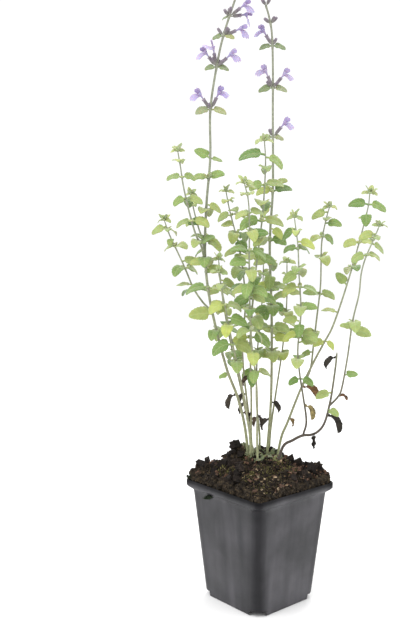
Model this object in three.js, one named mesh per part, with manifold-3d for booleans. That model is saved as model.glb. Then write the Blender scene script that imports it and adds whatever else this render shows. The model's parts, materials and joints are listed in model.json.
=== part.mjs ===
// A catmint plant in its square nursery pot. Millimetres, +Z up.
// The origin is the middle of the pot's underside; one corner of the pot points to -Y.
import * as THREE from 'three';
import { mergeVertices } from 'three/addons/utils/BufferGeometryUtils.js';
import Module from 'manifold-3d';

const wasm = await Module();
wasm.setup();

// ---------- driving dimensions ----------
const POT_HEIGHT = 100;
const RIM_HALF = 45; // half the side of the rim
const RIM_CORNER = 5.5;
const RIM_BAND = 5; // straight height of the rim band
const RIM_DRAFT = 3; // the band's slanted underside
const BODY_TOP_HALF = 41.8;
const BODY_BASE_HALF = 33.7;
const BODY_CORNER = 9;
const WALL = 1.2;
const FLOOR = 1.5;
const NOTCH_WIDTH = 13.6; // drain notch at the foot of each corner
const NOTCH_HEIGHT = 4.2;
const NOTCH_REACH = 33; // how near the notch comes to the pot's axis
const DRAIN_RADIUS = 2.5;
const DRAIN_PLACE = 37.5;
const GAP = 0.3; // clearance between neighbouring solids

const MOUND_HEIGHT = 21; // crown of the soil above the rim
const MOUND_SPREAD = 36;
const EDGE_HEIGHT = 1; // soil at the wall, above the rim
const STEM_DEPTH = 108; // z of the buried ends of the stems

const STEM_STEP = 20; // length of one straight piece of a stem
const STEM_SIDES = 4;
const LEAF_THICKNESS = 0.7;
const LEAF_WIDTH = 0.61; // of the length
const LEAF_FOLD = 0.2; // how far the halves rise from the midrib
const DRIED_WIDTH = 0.42;
const DRIED_FOLD = 0.5;
const DRIED_BEND = 60;
const LEAF_TILT = 40; // how far the blades at the sides turn their upper face forward, in degrees

// ---------- seeded draws ----------
let seed = 20;
function draw(low, high) {
  seed = (Math.imul(seed, 1664525) + 1013904223) >>> 0;
  return low + (high - low) * seed / 4294967296;
}

// ---------- solids ----------
function solidOf(geometry) {
  geometry.deleteAttribute('normal');
  geometry.deleteAttribute('uv');
  const merged = mergeVertices(geometry, 1e-4);
  return new wasm.Manifold(new wasm.Mesh({
    numProp: 3,
    vertProperties: new Float32Array(merged.attributes.position.array),
    triVerts: new Uint32Array(merged.index.array),
  }));
}

function geometryOf(solid) {
  const mesh = solid.getMesh();
  const geometry = new THREE.BufferGeometry();
  geometry.setAttribute('position', new THREE.BufferAttribute(mesh.vertProperties, 3));
  geometry.setIndex(new THREE.BufferAttribute(mesh.triVerts, 1));
  geometry.computeVertexNormals();
  return geometry;
}

function geometryFrom(points, faces) {
  const geometry = new THREE.BufferGeometry();
  const places = points.flatMap((p) => [p.x, p.y, p.z]);
  geometry.setAttribute('position', new THREE.Float32BufferAttribute(places, 3));
  geometry.setIndex(faces.flat());
  return geometry;
}

// Rings of equal point counts, joined in order and closed by a fan at each end.
function loft(rings) {
  const count = rings[0].length;
  const points = rings.flat();
  const faces = [];
  for (let i = 0; i + 1 < rings.length; i += 1) {
    for (let j = 0; j < count; j += 1) {
      const a = i * count + j;
      const b = i * count + (j + 1) % count;
      faces.push([a, b, b + count], [a, b + count, a + count]);
    }
  }
  const middle = (ring) => ring.reduce((sum, p) => sum.add(p), new THREE.Vector3()).divideScalar(count);
  const first = points.length;
  points.push(middle(rings[0]), middle(rings[rings.length - 1]));
  const last = (rings.length - 1) * count;
  for (let j = 0; j < count; j += 1) {
    faces.push([first, (j + 1) % count, j], [first + 1, last + j, last + (j + 1) % count]);
  }
  return geometryFrom(points, faces);
}

function boxSolid(low, high) {
  const size = new THREE.Vector3().subVectors(high, low);
  const box = new THREE.BoxGeometry(size.x, size.y, size.z);
  box.translate((low.x + high.x) / 2, (low.y + high.y) / 2, (low.z + high.z) / 2);
  return solidOf(box);
}

// ---------- pot ----------
// A square with round corners that point along the axes.
function roundedSquare(half, corner, z, arcSteps = 3, sideSteps = 1) {
  const ring = [];
  const reach = (half - corner) * Math.SQRT2;
  for (let k = 0; k < 4; k += 1) {
    const turn = k * Math.PI / 2;
    for (let i = 0; i <= arcSteps; i += 1) {
      const angle = turn - Math.PI / 4 + i * Math.PI / 2 / arcSteps;
      ring.push(new THREE.Vector3(
        reach * Math.cos(turn) + corner * Math.cos(angle),
        reach * Math.sin(turn) + corner * Math.sin(angle),
        z,
      ));
    }
    const next = turn + Math.PI / 2;
    const from = ring[ring.length - 1];
    const to = new THREE.Vector3(
      reach * Math.cos(next) + corner * Math.cos(turn + Math.PI / 4),
      reach * Math.sin(next) + corner * Math.sin(turn + Math.PI / 4),
      z,
    );
    for (let i = 1; i < sideSteps; i += 1) {
      ring.push(new THREE.Vector3().lerpVectors(from, to, i / sideSteps));
    }
  }
  return ring;
}

const UNDER_RIM = POT_HEIGHT - RIM_BAND - RIM_DRAFT;
const ROOF = NOTCH_HEIGHT + FLOOR;

// The pot's inside, or with an inset the soil that fills it, as [half side, corner, z].
function insideLevels(inset, floor) {
  const slope = (BODY_TOP_HALF - BODY_BASE_HALF) / UNDER_RIM;
  return [
    [BODY_BASE_HALF + slope * floor - WALL - inset, BODY_CORNER - WALL, floor],
    [BODY_TOP_HALF - WALL - inset, BODY_CORNER - WALL, UNDER_RIM],
    [RIM_HALF - WALL - inset, RIM_CORNER, UNDER_RIM + RIM_DRAFT],
  ];
}

// Blocks at the four corners, from the notch's inner end outwards.
function cornerBlocks(width, inner, top) {
  const blocks = [
    boxSolid(new THREE.Vector3(inner, -width / 2, -1), new THREE.Vector3(70, width / 2, top)),
    boxSolid(new THREE.Vector3(-70, -width / 2, -1), new THREE.Vector3(-inner, width / 2, top)),
    boxSolid(new THREE.Vector3(-width / 2, inner, -1), new THREE.Vector3(width / 2, 70, top)),
    boxSolid(new THREE.Vector3(-width / 2, -70, -1), new THREE.Vector3(width / 2, -inner, top)),
  ];
  return blocks.reduce((all, block) => all.add(block));
}

function drainHoles() {
  const holes = [0, 1, 2, 3].map((k) => {
    const hole = new THREE.CylinderGeometry(DRAIN_RADIUS, DRAIN_RADIUS, ROOF + 2, 10);
    hole.rotateX(Math.PI / 2);
    const turn = k * Math.PI / 2;
    hole.translate(DRAIN_PLACE * Math.cos(turn), DRAIN_PLACE * Math.sin(turn), ROOF / 2);
    return solidOf(hole);
  });
  return holes.reduce((all, hole) => all.add(hole));
}

function potSolid() {
  const outer = solidOf(loft([
    roundedSquare(BODY_BASE_HALF, BODY_CORNER, 0),
    roundedSquare(BODY_TOP_HALF, BODY_CORNER, UNDER_RIM),
    roundedSquare(RIM_HALF, RIM_CORNER, UNDER_RIM + RIM_DRAFT),
    roundedSquare(RIM_HALF, RIM_CORNER, POT_HEIGHT),
  ]));
  const levels = insideLevels(0, FLOOR);
  levels.push([RIM_HALF - WALL, RIM_CORNER, POT_HEIGHT + 1]);
  const inside = solidOf(loft(levels.map((level) => roundedSquare(...level))));
  const roofs = cornerBlocks(NOTCH_WIDTH + 2 * WALL, NOTCH_REACH - WALL, ROOF);
  return outer
    .subtract(inside.subtract(roofs))
    .subtract(cornerBlocks(NOTCH_WIDTH, NOTCH_REACH, NOTCH_HEIGHT))
    .subtract(drainHoles());
}

// ---------- soil ----------
// Heaps on the soil at the left, the right, the back and the stems: height, place, spread squared.
const HEAPS = [[8, -47, 3, 90], [9, 50, 6, 90], [5, 8, 40, 160], [11, -20, 4, 110]];

// Height of the soil's lumpy surface.
function soilHeight(x, y) {
  const out = Math.hypot(x, y);
  const crown = MOUND_HEIGHT * Math.exp(-(out * out) / (MOUND_SPREAD * MOUND_SPREAD));
  const lumps = 1.7 * Math.sin(0.31 * x + 1.1) * Math.cos(0.27 * y - 0.4)
    + 1.3 * Math.sin(0.55 * x - 0.35 * y + 2) + 0.9 * Math.cos(0.8 * y + 0.45 * x);
  const heaps = HEAPS.reduce((sum, [height, hx, hy, spread]) => (
    sum + height * Math.exp(-((x - hx) ** 2 + (y - hy) ** 2) / spread)
  ), 0);
  return POT_HEIGHT + EDGE_HEIGHT + crown + lumps + heaps;
}

const SOIL_RINGS = 6;
const SOIL_SIDE_STEPS = 3;

function soilBlock() {
  const floor = FLOOR + GAP;
  const rings = insideLevels(GAP, floor).map(
    (level) => roundedSquare(...level, 2, SOIL_SIDE_STEPS),
  );
  const edge = roundedSquare(RIM_HALF - WALL - GAP, RIM_CORNER, POT_HEIGHT, 2, SOIL_SIDE_STEPS);
  for (let k = SOIL_RINGS; k > 0; k -= 1) {
    const part = k / SOIL_RINGS;
    rings.push(edge.map((p) => {
      const x = p.x * part;
      const y = p.y * part;
      return new THREE.Vector3(x, y, soilHeight(x, y) - (k === SOIL_RINGS ? 1.5 : 0));
    }));
  }
  const roofs = cornerBlocks(NOTCH_WIDTH + 2 * (WALL + GAP), NOTCH_REACH - WALL - GAP, ROOF + GAP);
  return solidOf(loft(rings)).subtract(roofs);
}

// ---------- stems ----------
// Each stem's route rises from the soil; a branch starts inside its parent, given by its place here.
// pairs: heights of its leaf pairs; size: leaf length; turn: heading of the topmost pair.
// radius: thick end and thin end. whorls: flower heads, each with
// its height, the heading and rise of its open flowers, the headings of its buds, and its bracts.
const STEMS = [
  {
    name: 'stem_left_tall', radius: [1.5, 1], size: 18, turn: 170,
    route: [[-8, -3, STEM_DEPTH], [-12, -3, 144], [-18, -4, 170], [-27, -6, 194], [-35, -8, 224],
      [-42, -10, 257], [-45, -12, 289], [-44, -12, 328], [-41, -11, 366], [-41, -10, 404],
      [-36, -9, 438], [-31, -8, 461], [-23, -6, 486], [-17, -5, 502]],
    pairs: [350, 325, 300, 286, 262, 227],
    whorls: [
      { z: 404, open: [[174, 54], [20, 64]], buds: [250, 155, 100], bracts: 190, length: 13 },
      { z: 437, open: [[165, 52], [225, 76], [8, 42]], buds: [200, 60, 110, 345], bracts: 185, length: 10 },
      { z: 461, open: [[10, 24]], buds: [165, 330, 80, 25], bracts: 175, length: 9 },
      { z: 476, open: [[8, 38], [30, 12]], buds: [290, 200, 95, 170], bracts: 165, length: 7 },
      { z: 501, open: [], buds: [20, 110, 200, 290], bracts: 150, length: 4 },
    ],
  },
  {
    name: 'stem_left_tall', parent: 0, radius: [1.1, 0.6], size: 16, turn: 150,
    route: [[-38.6, -9, 242], [-43, -6, 246], [-48.5, -1, 251], [-56, 6, 261], [-63, 12, 276],
      [-70, 17, 290], [-77, 20, 304], [-82, 22, 317]],
    pairs: [317, 309, 295, 277, 260],
  },
  {
    name: 'stem_left_tall', parent: 0, radius: [1.1, 0.6], size: 14, turn: 175,
    route: [[-44.6, -12, 282], [-48, -16, 297], [-52, -20, 306], [-57, -25, 325], [-61, -28, 344],
      [-63, -29, 358], [-65, -30, 370]],
    pairs: [370, 362, 350, 332, 316, 300],
  },
  {
    name: 'stem_left_tall', parent: 0, radius: [1, 0.6], size: 12, turn: 20,
    route: [[-45.4, -12, 292], [-48, -7, 303], [-51, -3, 311], [-55, 3, 324], [-58, 5, 338]],
    pairs: [338, 329, 315],
  },
  {
    name: 'stem_right_tall', radius: [1.5, 0.95], size: 18, turn: 5,
    route: [[5, 4, STEM_DEPTH], [7, 4, 132], [9, 5, 163], [9.5, 6, 195], [9, 7, 243], [7, 8, 297],
      [9, 8, 338], [9, 8, 367], [8.5, 8, 405], [8.3, 8, 436], [7.3, 8, 464], [5, 8, 478], [2, 8, 488]],
    pairs: [340, 318, 300, 282, 262, 246, 228, 208],
    whorls: [
      { z: 384, open: [[15, 50]], buds: [200, 110], bracts: 185, length: 9 },
      { z: 423, open: [[168, 66], [18, 50]], buds: [215, 75, 320, 185], bracts: 182, length: 12 },
      { z: 456, open: [[158, 58]], buds: [5, 25, 95, 200], bracts: 183, length: 11 },
      { z: 473, open: [], buds: [175, 200, 345, 20], bracts: 160, length: 7 },
      { z: 487, open: [], buds: [30, 130, 220, 310], bracts: 240, length: 4 },
    ],
  },
  {
    name: 'stem_centre', radius: [1.3, 0.6], size: 18, turn: 180,
    route: [[-4, -6, STEM_DEPTH], [-7, -7, 139], [-7, -9, 170], [-8, -12, 224], [-4, -15, 277],
      [1, -17, 321], [3, -17, 360], [2, -16, 379]],
    pairs: [379, 357, 344, 330, 316, 302, 286, 270, 254, 238, 222],
  },
  {
    name: 'stem_back', radius: [1.2, 0.6], size: 16, turn: 20,
    route: [[-1, 9, STEM_DEPTH], [0, 10, 134], [-3, 16, 163], [-3, 22, 194], [-2, 26, 215],
      [1, 31, 249], [2, 34, 281]],
    pairs: [281, 272, 257, 240, 224, 206, 188],
  },
  {
    name: 'stem_right_long', radius: [1.4, 0.6], size: 16, turn: 15,
    route: [[13, 3, STEM_DEPTH], [18, 6, 135], [23.6, 8, 149], [34.5, 12, 177], [44, 15, 197],
      [53, 18, 214], [60, 20, 227], [67, 22, 247], [74, 24, 270], [80, 25, 292], [88, 25, 326],
      [89.5, 25, 339]],
    pairs: [339, 318, 298, 278],
  },
  {
    name: 'stem_right_long', parent: 7, radius: [1.1, 0.6], size: 15, turn: 10,
    route: [[34.5, 12, 177], [42, 18, 191], [45, 24, 213], [48, 28, 239], [50.5, 31, 263],
      [51, 33, 297], [54, 33, 316], [57, 33, 328]],
    pairs: [328, 318, 303, 286, 254, 222],
  },
  {
    name: 'stem_right_low', radius: [1.5, 0.9], size: 12, turn: 60,
    route: [[13, -8, STEM_DEPTH], [19, -9, 131], [27, -9, 137], [35, -10, 141.5], [42, -11, 142.5],
      [48, -12, 146], [53, -13, 154], [57, -13, 171], [59, -12, 184], [61, -11, 200], [62, -10, 211]],
    pairs: [],
  },
  {
    name: 'stem_right_low', parent: 9, radius: [1, 0.6], size: 15, turn: 10,
    route: [[56, -13, 167], [63, -14, 175], [66, -15, 183], [70, -15, 208], [73.5, -15, 237],
      [78, -15, 258], [79.5, -15, 275], [83, -14, 288], [88.5, -13, 301], [93, -12, 312]],
    pairs: [312, 303, 289, 236],
  },
  {
    name: 'stem_right_low', parent: 9, radius: [1.1, 0.6], size: 16, turn: 175,
    route: [[35.5, -10, 141.7], [38, -12, 154], [35, -15, 175], [32, -18, 193], [30, -20, 214],
      [32, -22, 244], [30, -22, 277], [29, -21, 297], [26, -20, 319]],
    pairs: [319, 308, 294, 279, 264, 248, 226, 206],
  },
  {
    name: 'stem_centre_left', radius: [1.2, 0.6], size: 16, turn: 160,
    route: [[-8, 4, STEM_DEPTH], [-8, 5, 142], [-11, 7, 167], [-14, 10, 192], [-15, 13, 217],
      [-13, 17, 250], [-17, 22, 286], [-22, 24, 307], [-27, 25, 326], [-30, 26, 341]],
    pairs: [341, 333, 321, 306, 291, 276, 260, 245, 230, 214],
  },
  {
    name: 'stem_centre_front', radius: [1.2, 0.6], size: 16, turn: 15,
    route: [[-1, -11, STEM_DEPTH], [-2, -14, 138], [-2, -18, 164], [-3, -23, 189], [-7, -28, 222],
      [-8.5, -31, 255], [-9, -33, 286], [-9, -34, 313], [-10, -34, 332], [-13, -34, 345]],
    pairs: [345, 336, 322, 308, 293, 278, 262, 246, 230],
  },
  {
    name: 'stem_left_front', radius: [1.2, 0.6], size: 18, turn: 185,
    route: [[-7, -9, STEM_DEPTH], [-8, -13, 140], [-12, -17, 170], [-18, -21, 200], [-24, -25, 228],
      [-29, -29, 255], [-33, -31, 276]],
    pairs: [276, 266, 250, 234, 218, 204],
  },
  {
    name: 'stem_back_right', radius: [1.2, 0.6], size: 16, turn: 0,
    route: [[8, 11, STEM_DEPTH], [9, 14, 138], [14, 20, 175], [19, 27, 210], [22, 33, 245], [22, 37, 281]],
    pairs: [281, 271, 254, 238, 220, 204],
  },
  {
    name: 'stem_back_left', radius: [1.2, 0.6], size: 16, turn: 30,
    route: [[-5, 11, STEM_DEPTH], [-9, 16, 138], [-17, 24, 175], [-26, 32, 212], [-33, 38, 248],
      [-37, 41, 283]],
    pairs: [283, 273, 256, 240, 222, 204],
  },
];

// Leaves set one by one: stem index, height, heading, rise, bend, length, tilt.
const PLACED = [
  [0, 241, 180, 10, 30, 20, 62], [14, 243, 165, 50, 35, 17, 60], [14, 240, 0, -5, 35, 17, 55],
  [5, 368, 180, 18, 60, 22, 42], [5, 366, 0, 0, 75, 17, 40], [0, 366, 165, 40, 25, 15, 55],
  [0, 366, 10, -5, 20, 10, 40], [0, 284, 180, 5, 30, 13, 65], [12, 290, 265, -25, 55, 14, 0],
  [5, 296, 270, -20, 60, 14, 0], [7, 330, 180, 20, 50, 17, 50], [7, 330, 0, 5, 60, 16, 45],
  [7, 323, 262, -30, 40, 15, 0], [10, 230, 0, -8, 20, 16, 60], [10, 232, 180, 20, 30, 10, 50],
  [10, 193, 20, 10, 20, 12, 50], [8, 256, 180, 5, 15, 14, 45], [8, 224, 180, 0, 20, 11, 45],
  [11, 236, 265, -35, 30, 14, 0], [7, 263, 150, 50, 10, 14, 60], [1, 302, 265, -20, 50, 10, 0],
  [1, 312, 190, -15, 30, 14, 40], [4, 272, 265, -20, 55, 16, 0], [13, 269, 255, -30, 45, 16, 0],
  [13, 213, 275, -10, 50, 17, 0], [4, 244, 200, 10, 40, 15, 45], [2, 334, 200, 0, 70, 12, 50],
  [2, 334, 10, 5, 50, 14, 45], [11, 300, 0, 5, 60, 15, 45],
  [7, 216, 180, -10, 60, 12, 50], [7, 216, 0, -20, 60, 11, 45], [13, 198, 265, -20, 50, 14, 0],
  [5, 192, 280, -25, 50, 13, 0], [11, 190, 195, 0, 60, 11, 45], [11, 190, 345, 0, 60, 12, 45],
  [8, 206, 180, 0, 60, 11, 45], [0, 190, 180, 10, 60, 9, 40], [1, 264, 185, 5, 20, 13, 20],
  [7, 240, 175, 25, 40, 14, 20], [9, 164, 315, 5, 50, 12, 45],
  [9, 178, 190, 0, 40, 14, 40],
];

// Single leaves between the pairs: stem index, how many, lowest and highest height.
const SINGLES = [
  [0, 5, 270, 338], [1, 1, 280, 290], [2, 1, 290, 300], [4, 7, 210, 360], [6, 1, 196, 206],
  [8, 2, 308, 330], [10, 2, 294, 312], [11, 6, 206, 320], [12, 3, 298, 330],
  [13, 5, 254, 346], [15, 2, 226, 244], [16, 2, 260, 276],
];

// Dried leaves on the bare lower stems: stem index, height, heading, rise, length.
const DRIED = [
  [0, 174, 195, -35, 14], [0, 158, 30, -30, 10], [4, 166, 20, -45, 12], [4, 152, 200, -45, 12],
  [5, 160, 250, -30, 10], [7, 152, 330, -40, 8], [9, 144, 262, -60, 13], [9, 160, 5, -28, 19],
  [9, 207, 185, -40, 13], [6, 150, 120, -25, 12], [12, 172, 160, -30, 11], [13, 160, 300, -25, 9],
  [16, 160, 120, -25, 13], [5, 190, 180, -25, 10], [7, 178, 355, -10, 17], [11, 168, 350, -35, 14],
  [10, 176, 10, 0, 8],
];

function curveOf(stem) {
  const points = stem.route.map((p) => new THREE.Vector3(...p));
  return new THREE.CatmullRomCurve3(points, false, 'catmullrom', 0.5);
}

// Points along a stem, evenly shared out over its route.
function samplesOf(stem) {
  const curve = curveOf(stem);
  let length = 0;
  for (let i = 0; i + 1 < stem.route.length; i += 1) {
    length += new THREE.Vector3(...stem.route[i]).distanceTo(new THREE.Vector3(...stem.route[i + 1]));
  }
  const count = Math.ceil(length / STEM_STEP);
  return Array.from({ length: count + 1 }, (_, i) => curve.getPoint(i / count));
}

// The point of a stem at a height, on its straight pieces.
function pointAtHeight(samples, z) {
  for (let i = 0; i + 1 < samples.length; i += 1) {
    const a = samples[i];
    const b = samples[i + 1];
    if (z <= b.z || i + 2 === samples.length) {
      return new THREE.Vector3().lerpVectors(a, b, Math.min(1, (z - a.z) / (b.z - a.z)));
    }
  }
  return samples[0];
}

function stemSolid(samples, radius, extra = 0) {
  const last = samples.length - 1;
  const rings = samples.map((p, i) => {
    const ahead = samples[Math.min(i + 1, last)];
    const behind = samples[Math.max(i - 1, 0)];
    const along = new THREE.Vector3().subVectors(ahead, behind).normalize();
    const side = new THREE.Vector3(0, 1, 0).cross(along).normalize();
    const other = new THREE.Vector3().crossVectors(along, side);
    const r = THREE.MathUtils.lerp(radius[0], radius[1], i / last) + extra;
    return Array.from({ length: STEM_SIDES }, (_, k) => {
      const angle = (k + 0.5) * 2 * Math.PI / STEM_SIDES;
      return p.clone().addScaledVector(side, r * Math.cos(angle)).addScaledVector(other, r * Math.sin(angle));
    });
  });
  return solidOf(loft(rings));
}

// A stem's plain hole in the soil, a little wider and deeper than the stem.
function holeSolid(samples, radius) {
  const near = samples.filter((p) => p.z < POT_HEIGHT + MOUND_HEIGHT + STEM_STEP);
  const along = new THREE.Vector3().subVectors(near[0], near[1]).normalize();
  const lowest = near[0].clone().addScaledVector(along, GAP);
  return stemSolid([lowest, ...near.slice(1)], [radius[0], radius[0]], GAP * 1.7);
}

// ---------- blades ----------
// Half outlines of a blade with waved edges, as [part of the length, part of the half width].
const BIG_EDGE = [[0, 0], [0.16, 0.14], [0.26, 0.86], [0.42, 1], [0.5, 0.82], [0.66, 0.84], [1, 0]];
const MIDDLE_EDGE = [[0, 0], [0.16, 0.16], [0.32, 1], [0.47, 0.8], [0.64, 0.84], [1, 0]];
const SMALL_EDGE = [[0, 0], [0.18, 0.22], [0.5, 1], [1, 0]];
const RIB_MIDDLE = 0.46;
const BLADE_START = 0.3;

// A point of a blade's midrib, part u along its arc, with the normal and the sideways way there.
// A blade that points left or right is rolled, so that its upper face looks forward.
function ribPoint(root, leaf, u) {
  const heading = THREE.MathUtils.degToRad(leaf.heading);
  const rise = THREE.MathUtils.degToRad(leaf.rise);
  const bend = THREE.MathUtils.degToRad(leaf.bend);
  const angle = rise - bend * u;
  const out = leaf.length / bend * (Math.sin(rise) - Math.sin(angle));
  const up = leaf.length / bend * (Math.cos(angle) - Math.cos(rise));
  const point = new THREE.Vector3(out * Math.cos(heading), out * Math.sin(heading), up).add(root);
  const normal = new THREE.Vector3(
    -Math.sin(angle) * Math.cos(heading), -Math.sin(angle) * Math.sin(heading), Math.cos(angle));
  const sideways = new THREE.Vector3(-Math.sin(heading), Math.cos(heading), 0);
  const roll = THREE.MathUtils.degToRad(leaf.tilt) * Math.cos(heading);
  return [
    point,
    normal.clone().multiplyScalar(Math.cos(roll)).addScaledVector(sideways, -Math.sin(roll)),
    sideways.clone().multiplyScalar(Math.cos(roll)).addScaledVector(normal, Math.sin(roll)),
  ];
}

// A closed blade that starts in a point at root and bends down in an arc. Its stalk runs from there
// to the first pair of edge points. Both faces are the same fan of triangles round the middle.
function bladeSolid(root, leaf, edge) {
  const place = ([u, v]) => {
    const [point, normal, sideways] = ribPoint(root, leaf, u);
    const half = v * leaf.width / 2;
    point.addScaledVector(sideways, half).addScaledVector(normal, leaf.fold * Math.abs(half));
    return [point, normal];
  };
  const rightSide = edge.slice(1).map(([u, v]) => [u, -v]);
  const leftSide = edge.slice(1, -1).reverse();
  const rim = [...rightSide, ...leftSide];
  const spots = [...rim, [RIB_MIDDLE, 0]].map(place);
  const shifted = (part) => spots.map(
    ([p, normal]) => p.clone().addScaledVector(normal, part * leaf.thickness),
  );
  const count = spots.length;
  const middle = count - 1;
  const start = 2 * count;
  const last = rim.length - 1;
  const faces = rim.flatMap((_, a) => {
    const b = (a + 1) % rim.length;
    const fans = [[a, b, middle], [b + count, a + count, middle + count]];
    return a === last ? fans : [...fans, [b, a, a + count], [b, a + count, b + count]];
  });
  faces.push([0, last, start], [last + count, count, start], [0, start, count], [last, last + count, start]);
  return solidOf(geometryFrom([...shifted(0.5), ...shifted(-0.5), place(edge[0])[0]], faces));
}

// ---------- room between leaves ----------
const ROOM = 0.5; // between two leaves, or a leaf and a stem
const SOIL_ROOM = 2; // between a leaf and the soil
const POT_REACH = 66; // the pot lies within this distance of its axis
const taken = [];

function take(p, r) {
  taken.push({ x: p.x, y: p.y, z: p.z, r });
}

// Balls over a blade: part of its length, then side place and radius as parts of its width.
const BALLS = [[0.4, -0.24, 0.25], [0.4, 0.24, 0.25], [0.63, -0.2, 0.25], [0.63, 0.2, 0.25], [0.86, 0, 0.22]];

function bladeBalls(root, leaf) {
  return BALLS.map(([u, v, r]) => {
    const [p, , sideways] = ribPoint(root, leaf, u);
    p.addScaledVector(sideways, v * leaf.width);
    return { x: p.x, y: p.y, z: p.z, r: r * leaf.width };
  });
}

function clearOfAll(balls) {
  return balls.every((ball) => {
    const overPot = Math.hypot(ball.x, ball.y) < POT_REACH;
    if (overPot && ball.z - ball.r < soilHeight(ball.x, ball.y) + SOIL_ROOM) return false;
    return taken.every((t) => {
      const reach = t.r + ball.r + ROOM;
      const dx = t.x - ball.x;
      const dy = t.y - ball.y;
      const dz = t.z - ball.z;
      return dx * dx + dy * dy + dz * dz > reach * reach;
    });
  });
}

// Turns, lifts or shortens a blade until it is clear of all that stands already.
const SHORTER = [1, 0.82, 0.66];
const LIFTS = [0, 18, -20, 34];
const TURNS = [0, 14, -14, 28, -28, 44, -44];

function fitBlade(root, leaf) {
  for (const part of SHORTER) {
    for (const lift of LIFTS) {
      for (const turn of TURNS) {
        const tried = { ...leaf };
        tried.length = leaf.length * part;
        tried.width = leaf.width * part;
        tried.rise = leaf.rise + lift;
        tried.heading = leaf.heading + turn;
        const balls = bladeBalls(root, tried);
        if (clearOfAll(balls)) {
          taken.push(...balls);
          return tried;
        }
      }
    }
  }
  return null;
}

// Blades start a little out from the stem's axis, so that those of a pair don't cross.
function growBlade(name, root, leaf, edge) {
  const fitted = fitBlade(root, leaf);
  if (!fitted) return;
  const start = root.clone().addScaledVector(directionOf(fitted.heading, 0), BLADE_START);
  grow(name, bladeSolid(start, fitted, edge ?? edgeFor(fitted.length)));
}

// ---------- flowers ----------
const BRACT_TILT = 45;
const BRACT_WIDTH = 0.66; // of the length
const STALK_START = 0.5; // a little out from the stem's axis
const CALYX_START = 3;
const CALYX_LENGTH = 7.4;
const CALYX_FOOT = 1.8; // from its start to its full girth
const CALYX_GIRTH = 1.35;
const CALYX_RADIUS = 1.5;
const CALYX_TOOTH = 0.7;
const STALK_RADIUS = 0.35;
const SOCKET_DEPTH = 2.6;
const SOCKET_RADIUS = 0.95;
const TUBE_RADIUS = 0.5;
const TUBE_LENGTH = 8;
const TUBE_MOUTH = 1.8;
const BUD_RISE = 50;
const BUD_START = 1.6;
const BUD_LENGTH = 6.4;
const BUD_GIRTH = 1.25;
const CALYX_SIDES = 6;
const BUD_SIDES = 4;
const TUBE_SIDES = 4;
const LIP_THICKNESS = 0.8;
const LIP_TILT = 45;
// The lips; lift is added to the flower's rise, and a fold below 0 hangs the sides down.
const LOWER_LIP = { lift: -45, bend: 70, length: 9.4, width: 9, fold: -0.1 };
const UPPER_LIP = { lift: 12, bend: 30, length: 6.2, width: 5.6, fold: -0.2 };
const LIP_INSET = 1.5; // how far the lips start inside the throat

function directionOf(heading, rise) {
  const h = heading * Math.PI / 180;
  const e = rise * Math.PI / 180;
  return new THREE.Vector3(Math.cos(e) * Math.cos(h), Math.cos(e) * Math.sin(h), Math.sin(e));
}

// A body of rings along a straight line; levels are [distance, radius, zigzag].
function turned(root, direction, sides, levels) {
  const side = new THREE.Vector3(0, 0, 1).cross(direction).normalize();
  const other = new THREE.Vector3().crossVectors(direction, side);
  return solidOf(loft(levels.map(([distance, radius, zigzag = 0]) => (
    Array.from({ length: sides }, (_, k) => {
      const angle = k * 2 * Math.PI / sides;
      const tooth = k % 2 ? zigzag : -zigzag;
      return root.clone()
        .addScaledVector(direction, distance + tooth)
        .addScaledVector(side, radius * Math.cos(angle))
        .addScaledVector(other, radius * Math.sin(angle));
    })
  ))));
}

function calyxSolid(root, heading, rise) {
  const mouth = CALYX_START + CALYX_LENGTH;
  return turned(root, directionOf(heading, rise), CALYX_SIDES, [
    [STALK_START, STALK_RADIUS], [CALYX_START + CALYX_FOOT, CALYX_GIRTH],
    [mouth, CALYX_RADIUS, CALYX_TOOTH], [mouth - SOCKET_DEPTH, SOCKET_RADIUS],
  ]);
}

function budSolid(root, heading, rise, length) {
  return turned(root, directionOf(heading, rise), BUD_SIDES, [
    [STALK_START, STALK_RADIUS], [BUD_START + length * 0.6, BUD_GIRTH], [BUD_START + length, 0.4],
  ]);
}

const THROAT = CALYX_START + CALYX_LENGTH - SOCKET_DEPTH + GAP + TUBE_LENGTH;

function corollaSolid(root, heading, rise) {
  const direction = directionOf(heading, rise);
  const start = CALYX_START + CALYX_LENGTH - SOCKET_DEPTH + GAP;
  const tube = turned(root, direction, TUBE_SIDES, [
    [start, TUBE_RADIUS], [start + SOCKET_DEPTH, TUBE_RADIUS], [THROAT, TUBE_MOUTH],
  ]);
  const lipRoot = root.clone().addScaledVector(direction, THROAT - LIP_INSET);
  const lips = [LOWER_LIP, UPPER_LIP].map((lip) => bladeSolid(
    lipRoot,
    { ...lip, heading, rise: rise + lip.lift, tilt: LIP_TILT, thickness: LIP_THICKNESS },
    SMALL_EDGE,
  ));
  return tube.add(lips[0]).add(lips[1]);
}

// ---------- plant ----------
const bodies = new Map();
const corollas = [];

function grow(name, solid) {
  const list = bodies.get(name) ?? [];
  list.push(solid);
  bodies.set(name, list);
}

function buildStems() {
  const grown = [];
  for (const stem of STEMS) {
    const samples = samplesOf(stem);
    if (stem.parent !== undefined) samples[0] = pointAtHeight(grown[stem.parent], samples[0].z);
    grown.push(samples);
    grow(stem.name, stemSolid(samples, stem.radius));
    for (let i = 0; i + 1 < samples.length; i += 1) {
      for (const part of [0, 0.25, 0.5, 0.75]) {
        const p = new THREE.Vector3().lerpVectors(samples[i], samples[i + 1], part);
        take(p, stem.radius[0]);
      }
    }
  }
  return grown;
}

function takeFlower(root, heading, rise, reach) {
  const direction = directionOf(heading, rise);
  for (const [distance, r] of [[4, 1.2], [8, 1.5], [12, 1.5], [16.5, 4.2]]) {
    if (distance < reach) {
      take(root.clone().addScaledVector(direction, distance), r);
    }
  }
}

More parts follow.
